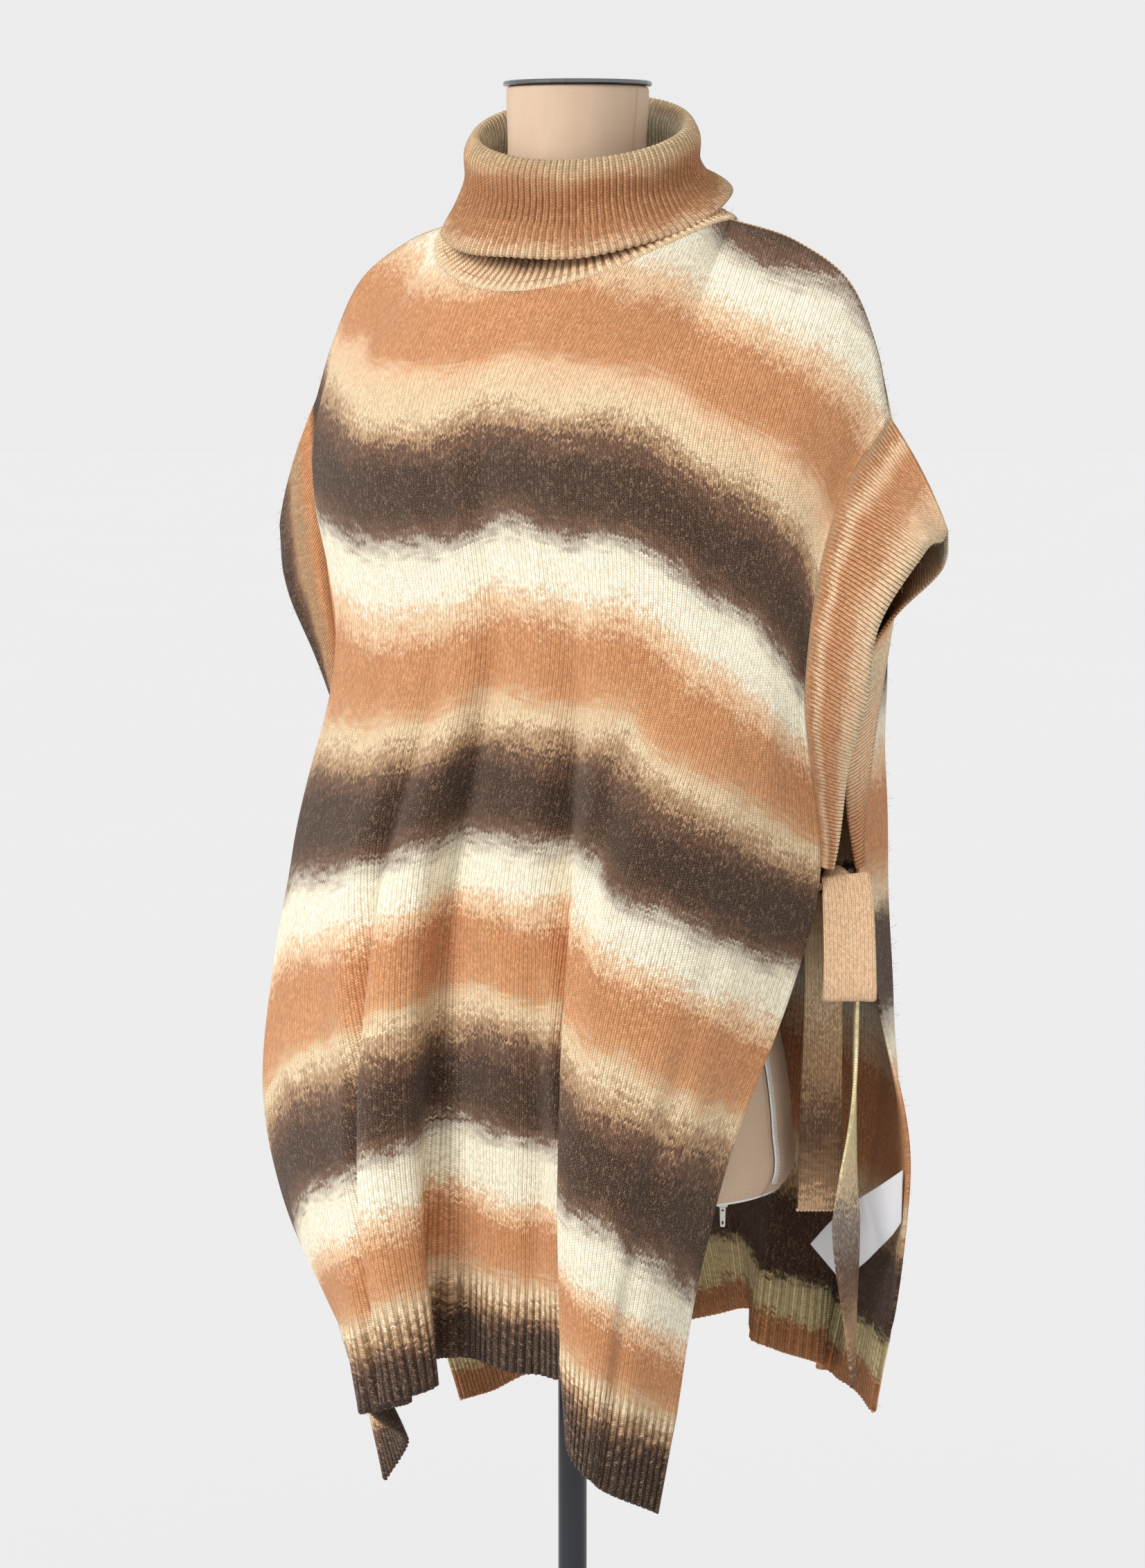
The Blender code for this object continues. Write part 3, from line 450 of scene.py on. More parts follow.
    # light that goes between the stitches comes back warmer
    green, blue = (calc(tree, "POWER", shade, power) for power in knitting["warmth"])
    tree.links.new(shaded(tree, colour, shade, green, blue), shader.inputs["Base Color"])
    tree.links.new(calc(tree, "MULTIPLY_ADD", halo, *knitting["roughness"]),
                   shader.inputs["Roughness"])
    setInputs(shader, {"Sheen Weight": 0.10, "Sheen Roughness": 0.5,
                       "Sheen Tint": (1.0, 0.95, 0.88, 1.0), "Specular IOR Level": 0.2})
    height = calc(tree, "MULTIPLY_ADD", halo, knitting["hairBump"], relief)
    bumped(tree, shader, height, knitting["bump"], knitting["bumpStrength"])
    return material


frontKnit = knitMaterial("frontKnit", stripePlan["front"], upper=stripePlan["yoke"],
                         upperFrom=43 * cm, rib=knitting["hemRib"], ribbedBand=True)
backKnit = knitMaterial("backKnit", stripePlan["back"], marl=1.4 * cm,
                        rib=knitting["hemRib"], ribbedBand=True)
collarKnit = knitMaterial("collarKnit", stripePlan["collar"], marl=0.9 * cm,
                          rib=knitting["collarRib"])
bandKnitLeft = knitMaterial("bandKnitLeft", stripePlan["bandLeft"], marl=0.7 * cm, marlAxis=2,
                            rib=knitting["bandRib"])
bandKnitRight = knitMaterial("bandKnitRight", stripePlan["bandRight"], marl=0.9 * cm,
                             marlAxis=2, rib=knitting["bandRib"])
peachTie = knitMaterial("peachTie", stripePlan["peachTie"])
tanTie = knitMaterial("tanTie", stripePlan["tanTie"], marl=4 * cm)
creamTie = knitMaterial("creamTie", stripePlan["creamTie"], marl=4 * cm)
darkTie = knitMaterial("darkTie", stripePlan["darkTie"], marl=1.5 * cm)


def plainMaterial(name, colour, roughness, metallic=0.0, grain=None, grainScale=400.0,
                  bump=0.0, variation=0.06):
    material, tree, shader = newMaterial(name)
    where = addNode(tree, "ShaderNodeTexCoord").outputs["Object"]
    if grain:
        where = addNode(tree, "ShaderNodeMapping", {"Vector": where, "Scale": grain}).outputs[0]
    fine = noiseOf(tree, where, grainScale, 4.0)
    broad = noiseOf(tree, where, grainScale / 30, 2.0)
    mixed = calc(tree, "ADD", calc(tree, "MULTIPLY", fine, 0.5),
                 calc(tree, "MULTIPLY", broad, 0.5))
    level = calc(tree, "MULTIPLY_ADD", mixed, 2 * variation, 1 - variation)
    tree.links.new(shaded(tree, colour, level, level, level), shader.inputs["Base Color"])
    tree.links.new(calc(tree, "MULTIPLY_ADD", mixed, 0.16, roughness - 0.08),
                   shader.inputs["Roughness"])
    shader.inputs["Metallic"].default_value = metallic
    if bump:
        bumped(tree, shader, fine, bump, 0.5)
    return material


def twillMaterial(name, pale, deep, pitch):
    material, tree, shader = newMaterial(name)
    coords = addNode(tree, "ShaderNodeAttribute", attribute_name="cloth")
    split = addNode(tree, "ShaderNodeSeparateXYZ", {0: coords.outputs["Vector"]})
    u, v = split.outputs[0], split.outputs[1]
    ridge = calc(tree, "SINE", calc(tree, "MULTIPLY", calc(tree, "ADD", u, v),
                                    2 * math.pi / pitch))
    thread = calc(tree, "SINE", calc(tree, "MULTIPLY", calc(tree, "SUBTRACT", v, u),
                                     2 * math.pi / (0.6 * pitch)))
    slub = noiseOf(tree, coords.outputs["Vector"], 900.0, 3.0)
    broad = noiseOf(tree, coords.outputs["Vector"], 12.0, 2.0)
    weave = calc(tree, "MULTIPLY_ADD", ridge, 0.3, 0.5)
    weave = calc(tree, "MULTIPLY_ADD", thread, 0.1, weave)
    for unevenness, strength in ((slub, 0.7), (broad, 0.4)):
        weave = calc(tree, "MULTIPLY_ADD", calc(tree, "SUBTRACT", unevenness, 0.5), strength,
                     weave)
    tree.links.new(blendColours(tree, weave, deep, pale), shader.inputs["Base Color"])
    tree.links.new(calc(tree, "MULTIPLY_ADD", slub, 0.15, 0.76), shader.inputs["Roughness"])
    setInputs(shader, {"Specular IOR Level": 0.25, "Sheen Weight": 0.12})
    bumped(tree, shader, weave, 0.25 * mm, 0.6)
    return material


formTwill = twillMaterial("formTwill", hexColour("#E9D0B6"), hexColour("#A98A6E"), 1.9 * mm)
labelSatin = twillMaterial("labelSatin", hexColour("#F4F4F6"), hexColour("#DDDEE3"), 0.8 * mm)
zipWhite = plainMaterial("zipWhite", hexColour("#F0EEE8"), 0.7, grainScale=1500.0, bump=0.1 * mm)
zipEnamel = plainMaterial("zipEnamel", hexColour("#ECEAE4"), 0.32, metallic=0.2)
capSteel = plainMaterial("capSteel", (0.20, 0.20, 0.21), 0.22, metallic=1.0,
                         grain=(1.0, 12.0, 1.0), grainScale=120.0, variation=0.12)
poleLacquer = plainMaterial("poleLacquer", (0.012, 0.014, 0.02), 0.32, variation=0.2,
                            grainScale=60.0)
seamYarn, endYarn, hemYarnFront, hemYarnBack = (
    plainMaterial(name, hexColour(code), 0.85, grainScale=2500.0, bump=0.1 * mm, variation=uneven)
    for name, code, uneven in (("seamYarn", "#C69C74", 0.06), ("endYarn", "#E9C6A2", 0.06),
                               ("hemYarnFront", "#4E392F", 0.3), ("hemYarnBack", "#BC8359", 0.2)))
print("materials made")


# the cut of the garment

neck = {"halfWidth": 12.0, "sideY": 2.7, "frontY": -8.5, "backY": 8.5,
        "sideDown": 10.3, "frontDown": 15.5, "backDown": 8.9}
shoulderShare = 11 / 42                 # share of a panel's width beside the neck

leftShoulder = (                        # out from the neck, x, y, down
    (0.00, 12.0, 2.7, 10.3), (0.30, 17.5, 3.2, 12.0), (0.55, 21.8, 3.4, 15.0),
    (0.76, 24.0, 3.2, 19.4), (1.00, 25.5, 2.6, 24.6),
)
rightShoulder = (
    (0.00, -12.0, 2.7, 10.3), (0.30, -17.5, 3.2, 12.0), (0.55, -22.0, 3.4, 15.0),
    (0.76, -24.3, 3.2, 19.4), (1.00, -25.8, 2.6, 24.6),
)


def neckRing(turn):                     # turn 0 is the wearer's left, a quarter the back
    turn = np.asarray(turn, dtype=float)
    across = np.cos(2 * math.pi * turn)
    along = np.sin(2 * math.pi * turn)
    depth = np.where(along > 0, neck["backY"] - neck["sideY"], neck["sideY"] - neck["frontY"])
    endDown = np.where(along > 0, neck["backDown"], neck["frontDown"])
    down = neck["sideDown"] + (endDown - neck["sideDown"]) * np.abs(along) ** 1.6
    return perPoint(neck["halfWidth"] * across, neck["sideY"] + depth * along, -down)


def topEdge(shares, side):              # side is -1 in front and +1 behind
    edge = np.zeros((len(shares), 3))
    for i, share in enumerate(shares):
        if share < shoulderShare:
            seam, out = rightShoulder, 1 - share / shoulderShare
        elif share > 1 - shoulderShare:
            seam, out = leftShoulder, (share - 1 + shoulderShare) / shoulderShare
        else:
            halfWay = (share - shoulderShare) / (1 - 2 * shoulderShare)
            edge[i] = neckRing([side * 0.5 * (1 - halfWay)])[0]
            continue
        seam = np.array(seam)
        points = seam[:, 1:] * (1, 1, -1)
        edge[i] = smoothThrough(seam[:, 0], points, np.array([out]))[0]
    return edge


# How far each station lies under the cap: panel's middle, wearer's right, wearer's left.
stations = ((24.5, 31.0, 30.0), (41.0, 43.0, 42.5), (60.0, 57.5, 57.5), (79.0, 80.0, 81.0))

# share, then x and y at yoke, chest, waist, hip and hem, and how low the hem hangs
frontLines = (
    (0.00, -23.8, 0.6, -22.8, 1.4, -21.5, 2.0, -22.6, -1.2, -16.9, -1.2, 109.0),
    (0.10, -21.6, -3.4, -19.2, -3.0, -22.6, -2.6, -24.0, -6.2, -12.8, -4.2, 104.6),
    (0.22, -17.8, -7.4, -15.2, -8.8, -20.2, -7.8, -18.6, -11.6, -11.2, -11.0, 100.4),
    (0.33, -12.2, -10.4, -9.2, -12.2, -13.9, -12.2, -11.0, -15.4, -8.4, -15.6, 99.0),
    (0.41, -7.2, -11.4, -4.8, -13.2, -8.6, -15.4, -7.2, -18.0, -4.2, -17.6, 96.9),
    (0.47, -3.4, -11.6, -1.4, -13.4, -4.4, -15.0, -3.2, -17.2, -1.4, -16.4, 95.8),
    (0.53, 0.6, -11.6, 2.2, -13.0, -1.2, -13.0, -0.8, -13.6, -1.6, -12.4, 94.6),
    (0.62, 6.2, -11.4, 7.6, -12.8, 4.4, -12.8, 4.4, -13.2, 3.0, -11.8, 95.2),
    (0.71, 12.0, -10.4, 12.6, -12.2, 9.0, -13.0, 8.6, -14.0, 8.2, -12.6, 95.4),
    (0.79, 17.4, -8.2, 17.2, -10.8, 12.8, -14.4, 11.1, -17.7, 11.0, -17.6, 97.8),
    (0.88, 21.8, -5.2, 21.2, -9.2, 18.2, -10.0, 15.8, -16.8, 14.0, -19.0, 100.0),
    (1.00, 24.6, -2.6, 24.2, -6.8, 22.3, -1.5, 18.7, -10.0, 16.1, -13.5, 103.3),
)
backLines = (
    (0.000, -25.0, 7.0, -24.0, 8.2, -21.4, 5.4, -22.6, 5.8, -18.4, 11.6, 105.6),
    (0.120, -20.5, 10.4, -19.4, 12.0, -20.4, 10.2, -21.2, 10.6, -16.2, 14.8, 104.8),
    (0.240, -14.0, 12.0, -13.0, 13.6, -15.6, 13.8, -15.8, 15.6, -11.4, 18.0, 102.0),
    (0.360, -7.5, 12.8, -6.6, 14.2, -8.8, 15.6, -9.0, 18.2, -5.2, 19.0, 99.6),
    (0.480, -1.0, 13.1, 0.0, 14.5, -2.0, 16.4, -2.2, 18.8, 1.2, 19.2, 97.4),
    (0.580, 5.0, 12.9, 5.6, 14.3, 4.0, 16.2, 3.6, 17.6, 6.4, 16.4, 95.6),
    (0.660, 9.5, 12.5, 10.0, 13.9, 8.8, 15.4, 8.0, 15.6, 8.9, 12.2, 96.2),
    (0.730, 13.4, 12.0, 13.8, 13.2, 12.8, 14.8, 11.8, 14.6, 12.2, 10.4, 96.9),
    (0.785, 16.6, 11.4, 16.6, 12.6, 15.8, 14.2, 14.8, 15.0, 14.6, 12.4, 98.0),
    (0.835, 19.0, 10.6, 18.9, 11.6, 18.4, 13.0, 17.4, 15.0, 13.8, 15.0, 99.4),
    (0.900, 21.8, 9.2, 21.2, 9.8, 21.2, 10.8, 20.8, 12.0, 17.4, 12.8, 99.5),
    (1.000, 24.8, 6.8, 23.2, 6.4, 22.6, 3.6, 26.0, 5.8, 23.1, 6.0, 99.2),
)


def stationRows(lines, side, shares):
    lines = np.array(lines)
    lineShares = lines[:, 0]
    rows = [topEdge(shares, side)]
    for i, (middle, right, left) in enumerate(stations):
        offMiddle = 2 * lineShares - 1
        down = middle + (np.where(offMiddle < 0, right, left) - middle) * offMiddle**2
        points = perPoint(lines[:, 1 + 2 * i], lines[:, 2 + 2 * i], -down)
        rows.append(smoothThrough(lineShares, points, shares))
    hem = perPoint(lines[:, 9], lines[:, 10], -lines[:, 11])
    rows.append(smoothThrough(lineShares, hem, shares))
    return np.stack(rows)


def surfaceNormals(grid, closed=False):
    across = np.gradient(grid, axis=1)
    if closed:
        across = (np.roll(grid, -1, axis=1) - np.roll(grid, 1, axis=1)) / 2
    return unit(np.cross(across, np.gradient(grid, axis=0)))


panelKnit = {
    "ribs": 96, "pointsPerRib": 4, "rows": 94,
    "thickness": 2.6 * mm, "ribHeight": 2.8 * mm,
    "hemBand": 7.6 * cm, "hemRise": 2.2 * cm, "selvedge": 0.9 * mm,
    "flatWidth": 0.56,
    # the cloth's own small unevenness: its height (cm), and two waves across and up
    "ripples": ((0.08, 47, 31, 9, 17), (0.05, 91, -8, 0, 31)),
}
frontPanel = {
    **panelKnit,
    # share at the top and at the hem, half width, then how far the crease stands out (cm)
    # from top edge to hem
    "creases": (
        (0.160, 0.160, 0.040, 0.0, 0.0, 0.1, 0.3, 0.3, 0.2),
        (0.490, 0.350, 0.020, 0.0, 0.0, -0.3, -1.8, -3.2, -3.2),
        (0.520, 0.415, 0.026, 0.0, 0.0, 0.1, 0.6, 0.8, 0.8),
        (0.520, 0.506, 0.019, 0.0, -0.1, -0.7, -2.0, -3.0, -3.0),
        (0.580, 0.580, 0.030, 0.0, 0.0, 0.1, 0.3, 0.4, 0.5),
        (0.640, 0.640, 0.022, 0.0, 0.0, -0.1, -0.4, -0.6, -0.6),
        (0.560, 0.748, 0.021, 0.0, 0.0, -0.5, -2.0, -2.5, -2.2),
        (0.615, 0.800, 0.022, 0.0, 0.0, 0.2, 1.0, 0.4, 0.0),
        (0.900, 0.900, 0.020, 0.0, 0.0, 0.0, -0.2, -0.5, -0.6),
    ),
    # how much higher (cm) the stripes sit at the wearer's right and left edges than
    # their height over the hem says, by that height
    "stripeRise": ((0.0, 0.0, 0.0), (5.0, -0.5, 0.8), (10.0, -1.5, -0.6), (15.0, -2.2, -1.6),
                   (19.0, -2.6, -1.0), (24.0, -2.2, 0.3), (30.0, -0.4, 1.4), (43.0, 4.2, 0.7),
                   (67.0, 13.0, -0.4), (82.0, 18.0, 0.0), (110.0, 20.0, 0.0)),
}
backPanel = {
    **panelKnit,
    "creases": (
        (0.14, 0.14, 0.035, 0.0, 0.1, 0.2, 0.4, 0.6, 0.6),
        (0.30, 0.30, 0.030, 0.0, -0.1, -0.2, -0.6, -0.8, -0.6),
        (0.42, 0.42, 0.035, 0.0, 0.0, 0.1, 0.4, 0.6, 0.5),
        (0.55, 0.55, 0.025, 0.0, 0.0, -0.1, -0.4, -0.6, -0.6),
        (0.70, 0.70, 0.022, 0.0, 0.0, 0.0, -0.4, -0.8, -0.9),
        (0.84, 0.84, 0.022, 0.0, 0.0, 0.1, 0.3, 0.5, 0.5),
    ),
    "stripeRise": ((0.0, 0.0, 0.0), (110.0, 0.0, 0.0)),
}


def panelSheet(name, piece, lines, side, material):
    shares = np.linspace(0, 1, piece["ribs"] * piece["pointsPerRib"] + 1)
    rows = stationRows(lines, side, shares)
    steps = np.linalg.norm(np.diff(rows, axis=0), axis=-1)
    lengths = np.vstack([np.zeros(len(shares)), np.cumsum(steps, axis=0)])
    travels = np.linspace(0, 1, piece["rows"] + 1)
    grid = np.zeros((len(travels), len(shares), 3))
    depths = np.zeros((len(travels), len(shares)))
    creases = np.array(piece["creases"])
    for j, share in enumerate(shares):
        at = travels * lengths[-1, j]
        grid[:, j] = smoothThrough(lengths[:, j], rows[:, j], at)
        centres = creases[:, 0] + (creases[:, 1] - creases[:, 0]) * travels[:, None]
        reach = np.exp(-((share - centres) / creases[:, 2]) ** 2)
        depths[:, j] = (smoothThrough(lengths[:, j], creases[:, 3:].T, at) * reach).sum(axis=1)
    grid = place(grid)
    fromHem = (1 - travels)[:, None] * lengths[-1] * cm
    normals = surfaceNormals(grid) * side
    ripple = sum(height * np.sin(a * shares + b * fromHem) * np.sin(c * shares + d * fromHem)
                 for height, a, b, c, d in piece["ripples"])
    band = smoothStep(piece["hemBand"], piece["hemBand"] - piece["hemRise"], fromHem)
    out = (depths + ripple * smoothStep(0, 0.2, travels)[:, None]) * cm
    out += band * ribWave(shares * piece["ribs"]) * piece["ribHeight"] / 2
    edge = np.exp(-(np.minimum(shares, 1 - shares) * piece["flatWidth"] / (4 * mm)) ** 2)
    out += edge * piece["selvedge"]
    grid += normals * out[..., None]
    rise = np.array(piece["stripeRise"]) * cm
    fromMiddle = (np.hypot(shares - 0.5, 0.08) - 0.08) / 0.4
    rightRise, leftRise = (np.interp(fromHem, rise[:, 0], rise[:, k]) for k in (1, 2))
    knitted = fromHem - fromMiddle * np.where(shares < 0.5, rightRise, leftRise)
    cloth = perPoint(shares * piece["flatWidth"], knitted, band)
    return newObject(name, gridMesh(name, grid, cloth), material), grid, normals


# armhole bands, ribbed, with a rolled selvedge beside the seam

bandKnit = {
    "ribs": 220, "pointsPerRib": 4, "rows": 10, "thickness": 2.6 * mm, "ribHeight": 1.0 * mm,
    "roll": 1.7 * mm, "rollAt": 0.4 * cm, "rollHalf": 0.28 * cm,
    "ribsFrom": 0.7 * cm, "ribsFull": 1.1 * cm,             # from the seam
    "bend": 0.25, "crown": 3.0 * mm, "lowerEnd": 56.5,
    "frontStripes": 9.0 * cm, "backStripes": 12.0 * cm,     # their places in the stripe plan
}
leftBand = {
    **bandKnit,
    # along the band from its front end, then how far its free edge lies from its seam
    "edge": ((0.00, 0.3, 1.2, -0.4), (0.12, 1.3, 2.8, -1.2), (0.22, 3.2, 2.9, -2.6),
             (0.30, 4.1, 1.6, -2.9), (0.39, 5.8, 2.0, -3.6), (0.50, 5.0, -0.4, -7.9),
             (0.58, 4.2, -2.2, -6.6), (0.66, 2.8, -6.4, -4.6), (0.76, 1.5, -7.6, -2.6),
             (0.88, 0.6, -4.8, -1.4), (1.00, 0.3, -0.9, -0.4)),
}
rightBand = {
    **bandKnit,
    "edge": ((0.00, -0.3, 0.9, -0.6), (0.14, -1.2, 1.2, -2.2), (0.26, -2.4, 0.8, -4.2),
             (0.38, -3.6, 0.4, -7.0), (0.50, -3.7, 0.4, -9.4), (0.62, -2.8, -1.6, -6.8),
             (0.74, -1.8, -2.6, -4.2), (0.87, -0.8, -2.2, -1.8), (1.00, -0.3, -0.9, -0.4)),
}


def bandSheet(name, piece, front, back, column, material):
    edges = []
    for grid, normals in (front, back):
        edge = grid[:, column]
        last = int(np.argmax(edge[:, 2] < capTop - piece["lowerEnd"] * cm)) + 1
        edges.append((edge[:last], normals[:last, column]))
    points = np.concatenate([edges[0][0][::-1], edges[1][0][1:]])
    ups = np.concatenate([edges[0][1][::-1], edges[1][1][1:]])
    walked = lengthAlong(points)
    middle = walked[len(edges[0][0]) - 1]
    # the shoulder is half way along, however long the two sides are
    along = np.where(walked < middle, 0.5 * walked / middle,
                     0.5 + 0.5 * (walked - middle) / (walked[-1] - middle))
    at = np.linspace(0, 1, piece["ribs"] * piece["pointsPerRib"] + 1)
    seam, ups = (np.stack([np.interp(at, along, line[:, k]) for k in range(3)], axis=-1)
                 for line in (points, ups))
    ups = unit(ups)
    length = np.interp(at, along, walked)
    table = np.array(piece["edge"])
    offsets = smoothThrough(table[:, 0], table[:, 1:] * cm, at)
    steps = np.linspace(0, 1, piece["rows"] + 1)
    # a quadratic through the seam, the bend and the free edge
    bendPoint = offsets * piece["bend"] + ups * piece["crown"]
    bend = piece["bend"]
    curve = (bendPoint - offsets * bend) / (bend * (bend - 1))
    grid = np.stack([seam + offsets * s + curve * s * (s - 1) for s in steps])
    own = surfaceNormals(grid)
    own *= np.sign(np.sum(own[1] * ups, axis=-1).mean())
    width = np.linalg.norm(offsets, axis=-1)
    reach = steps[:, None] * width
    rise = smoothStep(piece["ribsFrom"], piece["ribsFull"], reach)
    out = rise * ribWave(at * piece["ribs"]) * piece["ribHeight"] / 2
    out += np.exp(-((reach - piece["rollAt"]) / piece["rollHalf"]) ** 2) * piece["roll"]
    grid += own * out[..., None]
    fromShoulder = np.maximum(length - middle, 0)           # behind the shoulder
    behind = smoothStep(0, 0.06, fromShoulder)
    share = (steps[:, None] * piece["frontStripes"] * (1 - behind)
             + (piece["backStripes"] + fromShoulder) * behind)
    ribRun = at * piece["ribs"] * knitting["bandRib"]
    return newObject(name, gridMesh(name, grid, perPoint(ribRun, reach, share)), material)


# the roll collar

collar = {
    "ribs": 110, "pointsPerRib": 5, "rowsPerRing": 7, "thickness": 2.6 * mm,
    "ribHeight": 1.9 * mm,
    # half width, half depth, middle y, down, lean to the left, lean back
    "rings": (
        (8.7, 6.75, 0.6, 9.0, 0.10, 2.2), (7.8, 6.8, 0.9, 6.9, 0.30, 2.5),
        (7.6, 6.9, 1.2, 4.3, 0.80, 2.5), (8.15, 7.4, 1.3, 3.45, 0.85, 2.5),
        (8.7, 7.95, 1.3, 4.2, 0.85, 2.5), (8.85, 8.1, 1.35, 6.6, 0.75, 2.6),
        (9.7, 8.9, 1.5, 8.2, 0.6, 2.9), (11.1, 10.3, 1.95, 9.6, 0.3, 3.5),
    ),
    "baseDip": 0.75,                    # the spread base curves in below the loose edge
    "ribsFull": 0.8 * cm, "edgeRoll": 0.8 * mm, "edgeHalf": 0.35 * cm,
    "sag": ((0.12, 3, 0.7), (0.08, 7, 0.0)),        # the loose edge's waves: cm, count, start
}


def collarSheet(name, piece, material):
    turn = np.linspace(0, 1, piece["ribs"] * piece["pointsPerRib"], endpoint=False) + 0.25
    across, along = np.cos(2 * math.pi * turn), np.sin(2 * math.pi * turn)
    rings = [place(neckRing(turn % 1.0 - np.round(turn % 1.0)))]
    for halfWidth, halfDepth, middleY, down, leanLeft, leanBack in piece["rings"]:
        rings.append(place(perPoint(halfWidth * across, middleY + halfDepth * along,
                                    -down - leanLeft * across + leanBack * along)))
    dipped = (rings[0] + rings[1]) / 2
    dipped[:, :2] -= unit(dipped[:, :2] - place([0, neck["sideY"], 0])[:2]) * piece["baseDip"] * cm
    rings = np.stack([rings[0], dipped] + rings[1:])
    gaps = np.linalg.norm(np.diff(rings, axis=0), axis=-1).mean(axis=1)
    knots = np.concatenate([[0], np.cumsum(gaps)])
    count = piece["rowsPerRing"] * (len(rings) - 1)
    at = np.interp(np.linspace(0, len(rings) - 1, count + 1), np.arange(len(rings)), knots)
    flat = rings.reshape(len(rings), -1)
    grid = smoothThrough(knots, flat, at).reshape(count + 1, len(turn), 3)
    own = surfaceNormals(grid, closed=True)
    wave = ribWave((turn - 0.25) * piece["ribs"])
    seamFade = smoothStep(0.0, piece["ribsFull"], at)[:, None]
    edgeRoll = np.exp(-((at[-1] - at) / piece["edgeHalf"]) ** 2)[:, None] * piece["edgeRoll"]
    sag = sum(height * np.sin(2 * math.pi * waves * turn + start)
              for height, waves, start in piece["sag"])
    sag = sag * smoothStep(knots[5], knots[-1], at)[:, None] * cm
    grid += own * (wave * seamFade * piece["ribHeight"] / 2 + edgeRoll)[..., None]
    grid[..., 2] += sag
    cloth = perPoint((turn - 0.25) * piece["ribs"] * knitting["collarRib"], at[:, None], 0.0)
    return newObject(name, gridMesh(name, grid, cloth, closed=True), material), grid, own


sheetFront, *frontCloth = panelSheet("sweaterFront", frontPanel, frontLines, -1, frontKnit)
sheetBack, *backCloth = panelSheet("sweaterBack", backPanel, backLines, 1, backKnit)
frontGrid, backGrid = frontCloth[0], backCloth[0]
bandLeft = bandSheet("armholeBandLeft", leftBand, frontCloth, backCloth, -1, bandKnitLeft)
bandRight = bandSheet("armholeBandRight", rightBand, frontCloth, backCloth, 0, bandKnitRight)
rollCollar, collarGrid, collarNormals = collarSheet("rollCollar", collar, collarKnit)
print("panels, bands and collar knitted")


# fuzz: short fibres that stand off the brushed yarn, grown by Geometry Nodes

def openTree(name, carrier, made, inputs):
    tree = bpy.data.node_groups.new(name, "GeometryNodeTree")
    for label, kind in {carrier: "Geometry", **inputs, "Yarn": "Material"}.items():
        tree.interface.new_socket(label, in_out="INPUT", socket_type="NodeSocket" + kind)
    tree.interface.new_socket(made, in_out="OUTPUT", socket_type="NodeSocketGeometry")
    return tree, tree.nodes.new("NodeGroupInput").outputs


# A copy of one shape at every point, leaning away from the way the point faces.
def planted(tree, points, shape, faced, lean, size):
    lean = addNode(tree, "FunctionNodeEulerToRotation", {0: lean})
    turned = addNode(tree, "FunctionNodeRotateRotation", {0: faced, 1: lean.outputs[0]},
                     rotation_space="LOCAL")
    copies = addNode(tree, "GeometryNodeInstanceOnPoints",
                     {"Points": points, "Instance": shape, "Rotation": turned.outputs[0],
                      "Scale": size})
    return addNode(tree, "GeometryNodeRealizeInstances", {0: copies.outputs[0]}).outputs[0]


def closeTree(tree, given, geometry):
    dyed = addNode(tree, "GeometryNodeSetMaterial",
                   {"Geometry": geometry, "Material": given["Yarn"]})
    tree.links.new(dyed.outputs[0], tree.nodes.new("NodeGroupOutput").inputs[0])
    return tree


def fibreTree():
    tree, given = openTree("brushed fibres", "Cloth", "Fibres",
                           {"Fibres per square metre": "Float", "Length": "Float",
                            "Thickness": "Float", "Seed": "Int"})
    spots = addNode(tree, "GeometryNodeDistributePointsOnFaces",
                    {"Mesh": given["Cloth"], "Density": given["Fibres per square metre"],
                     "Seed": given["Seed"]}).outputs
    arc = addNode(tree, "GeometryNodeCurveQuadraticBezier",
                  {"Resolution": 3, "Start": (0.0, 0.0, -0.1), "Middle": (0.12, 0.05, 0.6),
                   "End": (0.75, 0.1, 0.9)})
    ring = addNode(tree, "GeometryNodeCurvePrimitiveCircle",
                   {"Resolution": 3, "Radius": given["Thickness"]})
    hair = addNode(tree, "GeometryNodeCurveToMesh",
                   {"Curve": arc.outputs[0], "Profile Curve": ring.outputs[0],
                    "Fill Caps": True})
    lean = addNode(tree, "FunctionNodeRandomValue",
                   {0: (-0.7, -0.7, 0.0), 1: (0.7, 0.7, 2 * math.pi), "Seed": given["Seed"]},
                   data_type="FLOAT_VECTOR")
    grow = addNode(tree, "FunctionNodeRandomValue", {2: 0.35, 3: 1.3, "Seed": 7},
                   data_type="FLOAT")
    size = calc(tree, "MULTIPLY", grow.outputs[1], given["Length"])
    grown = planted(tree, spots["Points"], hair.outputs[0], spots["Rotation"], lean.outputs[0],
                    size)
    return closeTree(tree, given, grown)


def runTree(obj, tree, values):         # a modifier's inputs go by their identifiers
    grower = obj.modifiers.new(tree.name, "NODES")
    grower.node_group = tree
    for item in tree.interface.items_tree:
        if item.item_type == "SOCKET" and item.in_out == "INPUT" and item.name in values:
            grower[item.identifier] = values[item.name]
    obj.update_tag()
    return settle(obj)


fibres = {
    "length": 5.0 * mm, "radius": 0.07 * mm, "seed": 11,
    # fibres per square metre
    "front": 15000, "back": 13000, "collar": 20000, "bands": 22000,
}
brushedFibres = fibreTree()


def fuzzOn(name, sheet, material, density, seed):
    carrier = newObject(name, sheet.data.copy())
    carrier.data.materials.clear()
    runTree(carrier, brushedFibres, {
        "Fibres per square metre": density, "Length": fibres["length"],
        "Thickness": fibres["radius"] / fibres["length"], "Seed": seed, "Yarn": material})
    print("  ", name, len(carrier.data.polygons), "faces")
    return carrier


